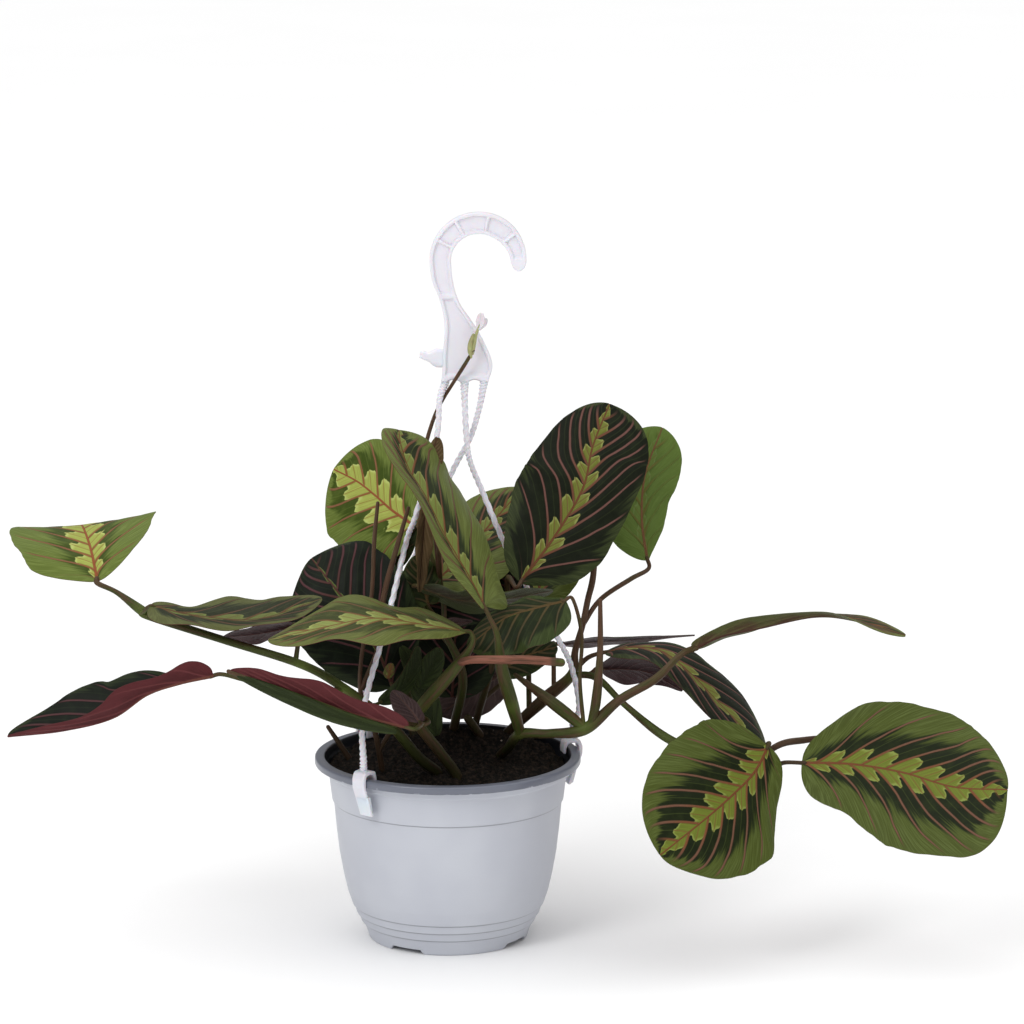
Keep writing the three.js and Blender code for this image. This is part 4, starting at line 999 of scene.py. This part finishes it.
def blade_shell(blade):
    """A closed blade: the middle surface moved up and down by half its thickness, thinner to the
    margin, domed a little between the side veins, with the midrib standing out below. Rows crowd
    towards both ends as a cosine, and columns towards the rib as a power."""
    rib_length = np.linalg.norm(np.diff(blade["rib"], axis=0), axis=1).sum()
    widest = max(blade["left"] + blade["right"])
    rows = int(np.clip(rib_length * ROWS_A_MM, 30, 104)) + 1
    columns = 2 * int(np.clip(widest * COLUMNS_A_MM, 8, 26)) + 1
    s = ((1 - np.cos(np.pi * np.linspace(0, 1, rows))) / 2)[:, None] * np.ones((1, columns))
    spread = np.linspace(-1, 1, columns)
    t = (np.sign(spread) * np.abs(spread) ** 1.25)[None, :] * np.ones((rows, 1))
    middle, across = blade_surface(blade, s, t)
    steps = [np.gradient(middle, axis=k) for k in (0, 1)]
    normal = unit(np.cross(steps[1], steps[0]))
    reach = np.abs(t)
    counts = [vein_count(blade, s, reach, right) for right in (False, True)]
    count = np.where(t >= 0, counts[1], counts[0])
    change = np.gradient(counts[1])
    pace = [np.linalg.norm(step, axis=-1) + 1e-6 for step in steps]
    steep = np.hypot(change[0] / pace[0], np.where(reach < 0.02, 0, change[1] / pace[1]))
    spacing = np.clip(1 / np.maximum(steep, 1e-3), 1.5, 30)
    quilt = 0.35 * np.abs(np.sin(np.pi * count)) * np.minimum(reach * 4, 1) * (1 - reach ** 4)
    middle = middle + normal * (quilt * np.sin(np.pi * s))[..., None]
    half = BLADE_THICKNESS / 2 * (1 - 0.55 * reach ** 6)
    keel = 0.9 * np.exp(-(across / 1.1) ** 2) * (1 - 0.8 * s)
    points, faces, index = slab(middle + normal * half[..., None],
                                middle - normal * (half + keel)[..., None])
    both = [np.tile(value.ravel(), 2) for value in (*counts, reach, s, across, t)]
    on_right = both[5][faces].mean(1, keepdims=True) > 0
    veins = np.where(on_right, both[1][faces], both[0][faces])
    uvs = {"veins": np.stack([veins, both[2][faces]], -1),
           "blade": np.stack([both[3][faces], both[4][faces]], -1)}
    band = blade["band"] * np.minimum(1, 0.6 + 2.5 * s) * (1 - 0.4 * s ** 3) + 1e-3
    ends = smooth_step(s, -0.04, 0.12) * (1 - 0.6 * smooth_step(s, 0.84, 1))
    patch = blade["patch"] * (0.8 + 0.5 * s) * ends
    fields = {"spacing": np.tile(spacing.ravel(), 2), "band": np.tile(band.ravel(), 2),
              "patch": np.tile(patch.ravel(), 2),
              "first": np.full(len(points), float(blade["phase"]))}
    return shell(points, faces, index=index, uvs=uvs, fields=fields)


for name, blade in {**BLADES, **INNER_BLADES}.items():
    skins = [tops.get(blade["top"]) or unders[blade["top"]], unders[blade["under"]]]
    piece = make_piece("blade_" + name.removeprefix("leaf_"), [blade_shell(blade)], skins, 75)
    place(piece, "dry_leaf" if blade["under"] == "dry" else "leaf",
          *([name] if name in BLADES else []))


# Stems
# A shoot is the x, y and radius of its root, which stands in the soil, and its branches. A branch's
# points are [x, y, z, radius], and it may run on to a leaf's petiole joint: "run" is how far before
# the joint its last free bend lies and "end" its radius there. Its tone runs from 0, red brown, to
# 1, bright green, and is pink below 0.

ROOT_HEIGHTS = [70.5, 84, 93, 98]

SHOOTS = {
    "shoot_far_left": ([-6, -14, 3], [
        dict(points=[[-16, -20, 108, 3], [-33, -30, 131, 2.8], [-56, -36, 151, 2.6],
                     [-80, -32, 164, 2.4], [-123, -24, 176, 2.2], [-164, -18, 188, 2.4],
                     [-171, -16, 192, 2.8], [-184, -13, 201, 1.5]], leaf="leaf_far_left_tip",
             run=2, end=1.5, tone=[0.1, 0.5, 0.7, 0.5, 0.1]),
        dict(points=[[-56, -36, 151, 1.6], [-86, -50, 153, 1.4], [-112, -50, 160, 1.2]],
             leaf="leaf_left_twisted", run=5, tone=[0.6, 0.2]),
        dict(points=[[-84, -31, 165, 1.5], [-83, -14, 176, 1.2]], leaf="leaf_left_shaded", run=3,
             tone=[0.5, 0.2]),
        dict(points=[[-170, -17, 190, 2]], leaf="leaf_far_left_low", run=0.5, tone=[0.7]),
    ]),
    "shoot_left": ([5, -20, 3], [
        dict(points=[[-4, -25, 112, 3], [-18, -34, 134, 3], [-14, -44, 143, 3.6],
                     [2, -54, 164, 3.6], [14, -54, 180, 1.8]], leaf="leaf_left_bright", run=4,
             tone=[0.1, 0.4, 0.6]),
        dict(points=[[-17, -36, 134, 1.8], [-14, -60, 137, 1.6]], leaf="leaf_left_rolled", run=4,
             tone=[0.3]),
        dict(points=[[-17, -38, 133, 2], [-34, -68, 140, 2], [-60, -76, 149, 2],
                     [-88, -72, 158.5, 2], [-108, -68, 165, 1.6], [-119, -66, 168.5, 1.2]],
             tone=[0.5, 0.3, 0.1, 0.1]),
        dict(points=[[6, -54, 170, 2.2], [14, -62, 174, 2.2], [30, -66, 175, 2.4],
                     [46, -66, 175, 2.4], [63, -64, 173, 2.4]],
             tone=[0.4, -0.6, -0.8, -0.8, -0.8, -0.8, -0.8, -0.8, -0.8, 1]),
        dict(points=[[-16, -38, 137, 1.6], [-10, -49, 136, 1.4]], leaf="leaf_purple_sheath", run=2,
             tone=[0.3]),
    ]),
    "shoot_centre": ([0, 45, 2.6], [
        dict(points=[[4, 40, 115, 2.6], [8, 34, 142, 2.6], [-2, 30, 168, 2]],
             leaf="leaf_centre_green", tone=[0.4, 0.5]),
        dict(points=[[4, 32, 156, 1.4], [-12, 32, 178, 1.4], [-20, 22, 195, 1.3]],
             leaf="leaf_centre_under", run=3, tone=[0.3]),
        dict(points=[[-2, 30, 168, 1.6], [-4, 26, 196, 1.5]], leaf="leaf_back_lime", run=6,
             tone=[0.3, 0.5]),
        dict(points=[[-4, 26, 192, 1.4], [-6, 8, 232, 1.2], [-12, -2, 262, 1.2], [-12, -2, 280, 1.2],
                     [-8, 2, 295, 1.1], [-3, 4, 306, 1.1], [3, -4, 317, 1], [9, -7, 327, 1.1],
                     [14.9, -8, 336.9, 0.9]], tone=[0.2, 0.0, 0.0, 0.2]),
        dict(points=[[-5, 24, 200, 1.1], [-8, 12.5, 236, 1.1]], leaf="leaf_withered", run=4, end=1,
             tone=[0.0]),
    ]),
    "stalks_left": ([-37, -8, 1.8], [
        dict(points=[[-41, -10, 121, 1.6], [-48, -12, 139, 1.4], [-48, -16, 163, 1.2],
                     [-42, -22, 199, 1.2], [-40, -24, 233, 1.2], [-38, -24, 254, 1]], tone=[0.0]),
        dict(points=[[-48, -13, 146, 1.2], [-37, -24, 176, 1.3], [-35, -26, 201, 1.6],
                     [-28, -28, 228, 1.5], [-21, -28, 252, 1]], tone=[0.0, 0.1]),
        dict(points=[[-38, -9, 110, 1.4], [-29, -6, 126, 1.4]], leaf="leaf_left_dark", run=6,
             tone=[0.1]),
        dict(points=[[-48, -12, 139, 1.2], [-44, -18, 138, 1.2]], leaf="leaf_narrow_curved", run=2,
             end=1, tone=[0.3]),
    ]),
    "shoot_right": ([29, 20, 2.6], [
        dict(points=[[34, 5, 107, 2.8], [41, -22, 122, 3], [57, -29, 124, 2.6],
                     [77, -30, 127, 3.4], [96, -28, 143, 2.6], [116, -24, 154, 2.4]],
             leaf="leaf_right_reaching", end=1.8, tone=[0.2, 0.6, 0.6, 0.2, 0.2]),
        dict(points=[[41, -22, 122, 2.8], [36, -38, 144, 3.8], [31, -52, 165, 3.6],
                     [28, -54, 186, 1.8]], leaf="leaf_front_arching", run=6,
             tone=[0.5, 0.5, 0.4, 0.0]),
        dict(points=[[77, -30, 127, 2.8], [60, -26, 140, 3.4], [38, -14, 154, 1.2]],
             tone=[0.6, 0.3, 0.2]),
        dict(points=[[80, -30, 129, 2.2], [83, -32, 144, 2.8], [85, -34, 172, 1.8],
                     [85, -34, 201, 1.2]], tone=[0.4, 0.2, 0.0]),
        dict(points=[[76, -30, 130, 1.2], [74, -26, 154, 1.1], [75, -20, 178, 1.1]],
             leaf="leaf_centre_dark", run=4, end=1, tone=[0.3, 0.1]),
    ]),
    "shoot_back_right": ([27, 49, 2.4], [
        dict(points=[[42, 40, 115, 3], [56, 32, 130, 3.6], [70, 24, 145, 2.8], [72, 20, 160, 2],
                     [76, 18, 175, 1.8], [79, 18, 190, 1.8], [82, 18, 204, 1.8], [84, 18, 232, 1]],
             tone=[0.4, 0.1, 0.0]),
        dict(points=[[76, 18, 175, 1.4], [86, 22, 189, 1.4], [103, 30, 199, 1.4]],
             leaf="leaf_top_pale", run=5, tone=[0.1]),
        dict(points=[[70, 24, 145, 1.4], [78, 20, 155, 1.4]], leaf="leaf_right_drooping", run=5,
             tone=[0.1]),
        dict(points=[[68, 25, 143, 1.4], [80, 30, 144, 1.3]], leaf="leaf_right_burgundy", run=3,
             tone=[0.1]),
        dict(points=[[60, 30, 134, 1.4], [60, 46, 156, 1.3]], leaf="leaf_right_folded", run=4,
             tone=[0.1]),
        dict(points=[[46, 38, 119, 1.6], [46, 52, 150, 1.5]], leaf="leaf_rear_right", run=6,
             tone=[0.4, 0.2]),
        dict(points=[[70, 24, 145, 2], [84, 12, 146, 2], [100, -4, 134, 1.8],
                     [124, -18, 118, 2.6], [152, -26, 109, 1.6], [172, -30, 109, 2.2],
                     [182, -29, 106, 1.6]], leaf="leaf_low_right_large",
             tone=[0.4, 0.8, 0.9, 0.8, 0.1, 0.1]),
        dict(points=[[172, -30, 109, 1.6], [186, -26, 117, 1.9], [200, -20, 118, 1.9],
                     [217, -16, 119, 1.3]], tone=[0.0]),
        dict(points=[[172, -30, 110, 1.5], [178, -31, 118, 1.3]], leaf="leaf_low_right_round",
             run=2, tone=[0.2]),
    ]),
    "shoot_top": ([12, 52, 2.2], [
        dict(points=[[18, 50, 120, 2.2], [26, 44, 150, 2], [33, 40, 184, 1.6], [34, 26, 201, 1.5]],
             leaf="leaf_top_large", run=4, tone=[0.4, 0.1]),
        dict(points=[[19, 49, 124, 1.4], [34, 56, 136, 1.4]], leaf="leaf_low_purple", run=3,
             tone=[0.2]),
    ]),
    "shoot_rear": ([-18, 42, 2.4], [
        dict(points=[[-22, 46, 112, 2.4], [-28, 52, 140, 2]], leaf="leaf_rear_left",
             tone=[0.4, 0.3]),
        dict(points=[[-23, 47, 118, 1.8], [-18, 58, 150, 1.6], [-6, 62, 182, 1.5]],
             leaf="leaf_rear_centre", tone=[0.4, 0.3]),
    ]),
    "stub_left": ([-56, 14, 1.8], [dict(points=[[-68, 14, 117, 1.2]], tone=[0.0])]),
    "stub_centre": ([23, 38, 2.6], [dict(points=[[11, 34, 117, 2.4]], tone=[0.2])]),
}

# Where a stem's joints are fresh green, and how far that green reaches
JOINT_REACH = 5
JOINTS = [[77, -30, 127], [41, -22, 122], [-14, -44, 143], [-170, -16, 191], [-80, -32, 164],
          [-56, -36, 151], [172, -30, 109], [124, -18, 118], [70, 24, 145], [36, -38, 144]]


def branch_path(branch, start):
    """The branch's points, run on where it carries a leaf through the petiole joint into the
    blade's keel."""
    path = [*start, *branch["points"]]
    if "leaf" in branch:
        joint, along = (part[0] for part in rib_frame(BLADES[branch["leaf"]], np.zeros(1))[:2])
        end = branch.get("end", 1.2)
        path += [[*(joint - along * branch.get("run", 9)), end], [*(joint + along * 1.5), end]]
    return path


for name, ((x, y, radius), branches) in SHOOTS.items():
    roots = [[x, y, z, radius] for z in ROOT_HEIGHTS]
    shells = [tube(branch_path(branch, [] if k else roots), fields={"tone": branch["tone"]})
              for k, branch in enumerate(branches)]
    for part in shells:
        away = np.linalg.norm(part["points"][:, None] - np.array(JOINTS), axis=-1).min(1)
        part["fields"]["joint"] = np.exp(-(away / JOINT_REACH) ** 2)
    place(make_piece(name + "_skin", shells, [stem_skin]), "stem", name)


# Pot and soil

POT_SIDES = 256
HUB_RADIUS = 10
FLOOR_RADIUS = 20
EDGE_RADIUS = 0.9
FOOT_INNER = 42.5
BASE_UNDERSIDE = 3.6
BASE_TOP = 5.8
NOTCH_TURN = np.radians(59)
NOTCH_HEIGHT = 2.8
GROOVE_HEIGHTS = [9.1, 14.1, 19.1, 79.6]
LIP_RADIUS = 74
LIP_TOP = 104.8
SOIL_LEVEL = 98
SOIL_SIDES = 200

# The soil's mound: height, place and how far it spreads in x and y
MOUND_HEIGHT = 12
MOUND_PLACE = (10, 42)
MOUND_SPREAD = (38, 17)

OUTER_WALL = [[45, 0], [45.9, 3.4], [48.1, 8.8], [49.2, 9.3], [50.9, 13.8], [52, 14.3], [53.1, 18.8],
              [54.2, 19.3], [56.8, 27], [59.1, 37], [61.4, 50], [63, 64], [64.4, 79.4], [65.3, 79.9],
              [67.2, 95.6], [69, 96.4], [69.3, 100.6], [75, 100.6], [75, 104.2], [74.2, 105]]
INNER_WALL = [[69.4, 105], [68.8, 100], [65, 92], [62.4, 76], [59.6, 50], [57.2, 37], [54.8, 27],
              [51, 17], [45, BASE_TOP]]


def notch_lift(x, y, z):
    """Lifts the foot ring off the floor in four notches of 20 mm, with sloping ends."""
    turn = np.arctan2(y, x) - NOTCH_TURN
    off = np.abs((turn + np.pi / 4) % (np.pi / 2) - np.pi / 4) * np.hypot(x, y)
    notch = NOTCH_HEIGHT * smooth_step(off, 11, 9) * (np.hypot(x, y) > FOOT_INNER - 2)
    return np.maximum(z, notch)


pot_profile = rounded([[HUB_RADIUS, 0], [HUB_RADIUS + 1, BASE_UNDERSIDE],
                       [FOOT_INNER - 0.8, BASE_UNDERSIDE], [FOOT_INNER, 0], *OUTER_WALL,
                       *INNER_WALL, [FLOOR_RADIUS, BASE_TOP]], EDGE_RADIUS)
points, faces, caps = turned(pot_profile, POT_SIDES, notch_lift)

# The zone rises along the profile: to 0.35 up the pale outside, from 0.72 over the dark lip to 1.2 and
# on to 2 down the inside, where the material paints shade. It is -0.5 in the grooves, which the
# material paints darker as shade too.
order = np.arange(len(pot_profile))
lip = np.argmax(pot_profile[:, 0] > LIP_RADIUS)
lip_end = np.argmax(pot_profile[:, 1] > LIP_TOP) + 3
zone = np.interp(order, [0, lip, lip + 1, lip_end, len(order)], [0, 0.35, 0.72, 1.2, 2])
shaded_groove_rows = np.abs(pot_profile[:, 1:2] - np.array(GROOVE_HEIGHTS)).min(1) < 0.42
zone = np.where(shaded_groove_rows & (order < lip), -0.5, zone)
pot_wall = shell(points, faces, caps, fields={"zone": np.repeat(zone, POT_SIDES)})
place(make_piece("pot_shell", [pot_wall], [pot_plastic], 35), "pot_plastic", "pot")


def lumps(x, y, z):
    """The soil's top: broad and fine crossed waves, finer crumbs, a mound behind the middle, a dip
    in front and a slight fall to the right."""
    broad = np.sin(x * 0.061 + 1.1) * np.cos(y * 0.083 + 0.4)
    fine = np.sin(x * 0.31 + y * 0.17) * np.sin(y * 0.27 - x * 0.11 + 2)
    crumbs = 0.55 * soft_noise(x, y, 5, 3) + 0.3 * soft_noise(x, y, 2.2, 4)
    off_x, off_y = ((at - middle) / spread
                    for at, middle, spread in zip((x, y), MOUND_PLACE, MOUND_SPREAD))
    mound = MOUND_HEIGHT * np.exp(-off_x ** 2 - off_y ** 2)
    dip = 3.5 * smooth_step(y, 0, -62)
    top = SOIL_LEVEL + 1.6 * (0.6 * broad + 0.5 * fine) - 0.01 * x + mound - dip + 1.3 * crumbs
    return np.where(z > SOIL_LEVEL - 0.5, top, z)


wall = [[radius - 0.5, height] for radius, height in INNER_WALL[::-1] if height < SOIL_LEVEL - 5]
rings = np.linspace(66.6, 0.6, 80)
soil_profile = [[wall[0][0] - 0.4, 6.2], *wall[1:], *[[radius, SOIL_LEVEL] for radius in rings]]
place(make_piece("peat_plug", [shell(*turned(soil_profile, SOIL_SIDES, lumps))], [peat], 60),
      "soil", "soil")


# Hanger

HOOK_CENTRE = np.array([17.9, 385.4])
HOOK_TIP = np.radians(-14)
PLATE_HALF = 2.5
PLATE_FOOT = 317.8

# Shares of the plate's length where its neck ends and where the hook's round tip starts
NECK_END = 0.42
TIP_START = 0.955

# Degrees round the hook where ribs cross its web, and the height of the rib across the neck
RIB_TURNS = (152, 120, 78, 38)
NECK_RIB = 366


def plate_edges(s):
    """The hook plate's outer and inner edge at s: the neck's two curves, then two arcs round the
    hook's centre, drawn together to a round tip."""
    neck = np.clip(s / NECK_END, 0, 1)
    outer = curve([[-3, PLATE_FOOT], [-2.4, 326], [-2, 336], [-1.2, 350], [-3.6, 363.2], [-8, 374.6],
                   [-9.5, 385.4]], neck)
    inner = curve([[23, PLATE_FOOT], [25.3, 328], [20.8, 340], [15, 350.3], [7.2, 362], [3.6, 374],
                   [2.5, 385.4]], neck)
    angle = np.pi + (HOOK_TIP - np.pi) * np.clip((s - NECK_END) / (1 - NECK_END), 0, 1)
    way = np.stack([np.cos(angle), np.sin(angle)], -1)
    past = np.clip((s - TIP_START) / (1 - TIP_START), 0, 1)
    tip = np.sqrt(np.clip(1 - past ** 2, 0.0004, 1))[..., None]
    thin = smooth_step(s, 0.76, 1)[..., None]
    middle, half = 21.4 + 0.6 * thin, (6 - 1.8 * thin) * tip
    on_arc = (s > NECK_END)[..., None]
    return (np.where(on_arc, HOOK_CENTRE + way * (middle + half), outer),
            np.where(on_arc, HOOK_CENTRE + way * (middle - half), inner), np.degrees(angle))


def hook_plate():
    """A flat plate with rounded edges and raised rims round a sunk web, crossed by ribs, and two
    round arches in its foot. Depth is a function of the distance from the nearest edge."""
    s = np.concatenate([np.linspace(0, NECK_END, 70)[:-1], np.linspace(NECK_END, 0.95, 110),
                        TIP_START + (1 - TIP_START) * np.sin(np.linspace(0, np.pi / 2, 12))])
    on_arc = s[:, None] > NECK_END
    v = (1 - np.cos(np.pi * np.linspace(0, 1, 45))) / 2
    outer, inner, angle = (part[:, None] for part in plate_edges(s))
    flat = outer + (inner - outer) * v[None, :, None]
    x, z = flat[..., 0], flat[..., 1]
    arch = sum(1.4 * np.clip(1 - ((x - middle) / half) ** 2, 0, 1)
               for middle, half in ((3.8, 3.9), (15.5, 3.6)))
    z = z + arch * np.clip(1 - (z - PLATE_FOOT) / 16, 0, 1)
    width = np.linalg.norm(inner - outer, axis=-1)
    foot = z - PLATE_FOOT - arch
    edge = np.minimum(width * np.minimum(v, 1 - v)[None, :], np.where(s[:, None] < 0.3, foot, 99))
    edge = np.maximum(edge, 0)
    fillet = 0.9 - np.sqrt(np.clip(0.81 - np.clip(0.9 - edge, 0, 0.9) ** 2, 0, 1))
    round_ribs = sum(smooth_step(np.abs(angle - turn), 3, 1.6) for turn in RIB_TURNS)
    neck_ribs = smooth_step(z, 323, 321) + smooth_step(np.abs(z - NECK_RIB), 2, 1)
    ribs = np.where(on_arc, round_ribs + smooth_step(angle, 8, 3), neck_ribs)
    sunk = 1.6 * smooth_step(edge, 1.7, 2.5) * (1 - np.clip(ribs, 0, 1))
    depth = PLATE_HALF - fillet - sunk
    front, back = np.stack([x, -depth, z], -1), np.stack([x, depth, z], -1)
    return shell(*slab(front, back)[:2])


def side_peg():
    """A short peg with a knob on the plate's left side, between an upper and a lower edge."""
    s = np.linspace(0, 1, 24)[:, None]
    v = (1 - np.cos(np.pi * np.linspace(0, 1, 15)))[None, :] / 2
    upper = curve([[-15, 334.6], [-13, 335.4], [-10, 334.6], [-6, 336.4], [-1, 336.2]], s)
    lower = curve([[-15.2, 331.4], [-13, 330.4], [-10, 329], [-6, 326.2], [-1, 326]], s)
    flat = lower + (upper - lower) * v[..., None]
    edge = np.minimum(np.minimum(v, 1 - v) * 5, s * 16)
    depth = 1.8 * np.sqrt(np.clip(1 - np.clip(1 - edge / 1.2, 0, 1) ** 2, 0.02, 1))
    front, back = (np.stack([flat[..., 0], side * depth, flat[..., 1]], -1) for side in (-1, 1))
    return shell(*slab(front, back)[:2])


def extruded(outline_points, width, edge, angle):
    """An outline in the plane of radius and height, carried along the tangent at an angle round
    the pot, with its rim drawn in by a round edge at both ends."""
    outline_points = np.asarray(outline_points, float)
    side = np.roll(outline_points, -1, 0) - np.roll(outline_points, 1, 0)
    inward = unit(np.stack([-side[:, 1], side[:, 0]], -1))
    area = np.sum(outline_points[:, 0] * side[:, 1])
    inward = inward * (1 if area > 0 else -1)
    turn = np.linspace(0, np.pi / 2, 4)
    bend = edge * (1 - np.cos(turn))
    stations = np.concatenate([-width / 2 + bend, width / 2 - bend[::-1]])
    draw = edge * (1 - np.sin(np.concatenate([turn, turn[::-1]])))
    flat = outline_points[None] + inward[None] * draw[:, None, None]
    radius, height, tangent = flat[..., 0], flat[..., 1], stations[:, None] + 0 * flat[..., 0]
    x = radius * np.cos(angle) - tangent * np.sin(angle)
    y = radius * np.sin(angle) + tangent * np.cos(angle)
    rows, columns = x.shape
    row, column = grid_corners(rows, columns, True)
    caps = [np.arange(columns)[::-1], (rows - 1) * columns + np.arange(columns)]
    return shell(np.stack([x, y, height], -1).reshape(-1, 3), row * columns + column % columns, caps)


CLIP_OUTLINE = [[68.8, 83.5], [71, 83.5], [77.6, 101], [77.7, 106], [76, 109.6], [71.8, 110],
                [67.4, 109.2], [66.3, 105], [66.3, 101.6], [68.1, 101.4], [68.2, 105], [69.4, 107.4],
                [72.2, 107.8], [74.6, 107.4], [75.4, 105], [75.4, 100.1]]

BLOCK_OUTLINE = [[70, 84.2], [72.4, 84.2], [75.4, 95.4], [73, 95.4]]
CLIP_WIDTH = 8.4
STRAND = dict(sides=18, step=0.7, lobes=3, pitch=13, depth=0.15)

# A strand ends upright in its clip, over the middle of the rim: radius, heights and half widths
SEAT_RADIUS = 72.8
SEAT_POINTS = [[117, 1.8], [108.8, 2]]

# The block at a clip's foot sits a hair askew, in radians round the pot
BLOCK_TURN = 0.014

# Each leg's turn round the pot in degrees and its points, [x, y, z, radius], from the plate down
LEGS = {
    "hanger_leg_left": (231, [[-0.8, 0, 320, 2.2], [-1, 0, 316.9, 2.1], [-4, -1, 308, 1.6],
                              [-6, -3, 285, 1.5], [-17, -16, 246, 1.5], [-22, -22, 233, 1.5],
                              [-30, -32, 201, 1.5], [-36, -41, 179, 1.5], [-44, -49, 151, 1.5],
                              [-46.4, -55, 134, 1.5]]),
    "hanger_leg_right": (14, [[9.8, 0, 320, 2.3], [9.8, 0, 316.9, 2.2], [9.9, 1, 306, 1.7],
                              [11, 3, 284, 1.6], [13, 6, 271, 1.5], [20, 14, 252, 1.5],
                              [32, 24, 221, 1.5], [46, 30, 192, 1.5], [63, 22, 165, 1.5],
                              [70, 16, 151, 1.5], [74, 11, 130, 1.5]]),
    "hanger_leg_back": (131, [[20.6, 0, 320, 2.2], [20.4, 0, 316.7, 2.1], [18, 3, 303, 1.6],
                              [13, 9, 285, 1.5], [3, 14, 265, 1.5], [-10, 19, 235, 1.5],
                              [-27, 36, 192, 1.5], [-44, 48, 145, 1.5], [-50, 55, 124, 1.5]]),
}

place(make_piece("hook_plate", [hook_plate(), side_peg()], [hanger_plastic], 45), "hanger_plastic",
      "hanger_hook")
for name, (degrees, points) in LEGS.items():
    angle = np.radians(degrees)
    seat = [SEAT_RADIUS * np.cos(angle), SEAT_RADIUS * np.sin(angle)]
    strand = tube([*points, *([*seat, *point] for point in SEAT_POINTS)], **STRAND)
    strap = extruded(rounded(CLIP_OUTLINE, 1.2, closed=True), CLIP_WIDTH, 0.5, angle)
    block = extruded(rounded(BLOCK_OUTLINE, 0.5, closed=True), CLIP_WIDTH, 0.5, angle + BLOCK_TURN)
    place(make_piece(name + "_strand", [strand, strap, block], [hanger_plastic], 50),
          "hanger_plastic", name)


# Bloom

PETAL = {**BLADE, "lobe_left": 0, "lobe_right": 0, "wave": 0.3, "fold_left": [10],
         "fold_right": [10], "curl_left": [40], "curl_right": [40], "peak": 0.6}
petals = [blade_shell({**PETAL, "rib": rib, "face": [face], "left": [half], "right": [half]})
          for rib, face, half in (
              ([[17.4, -8, 348.6], [18.9, -8, 352.6], [19.6, -8.4, 357.6]], [-0.3, -0.9, 0.2], 2),
              ([[17.6, -7.6, 348.6], [19.6, -6.8, 351.6], [21.6, -6, 354.6]], [0.4, 0.8, 0.3], 1.8))]
bract = [tube([[13.6, -8, 333, 0.7], [13, -8, 336.6, 1.4], [13.4, -8, 341, 1.4],
               [14.8, -8, 345.6, 0.8]], 16, 0.6),
         tube([[14.4, -8, 335, 0.8], [15.3, -8, 340, 1], [16.2, -8, 345, 0.9],
               [18.2, -8, 351, 0.6]], 12, 0.6)]
place(make_piece("bloom_bracts", bract, [bract_green]), "petal", "flower")
place(make_piece("bloom_petals", petals, [petal_lilac, petal_lilac]), "petal")
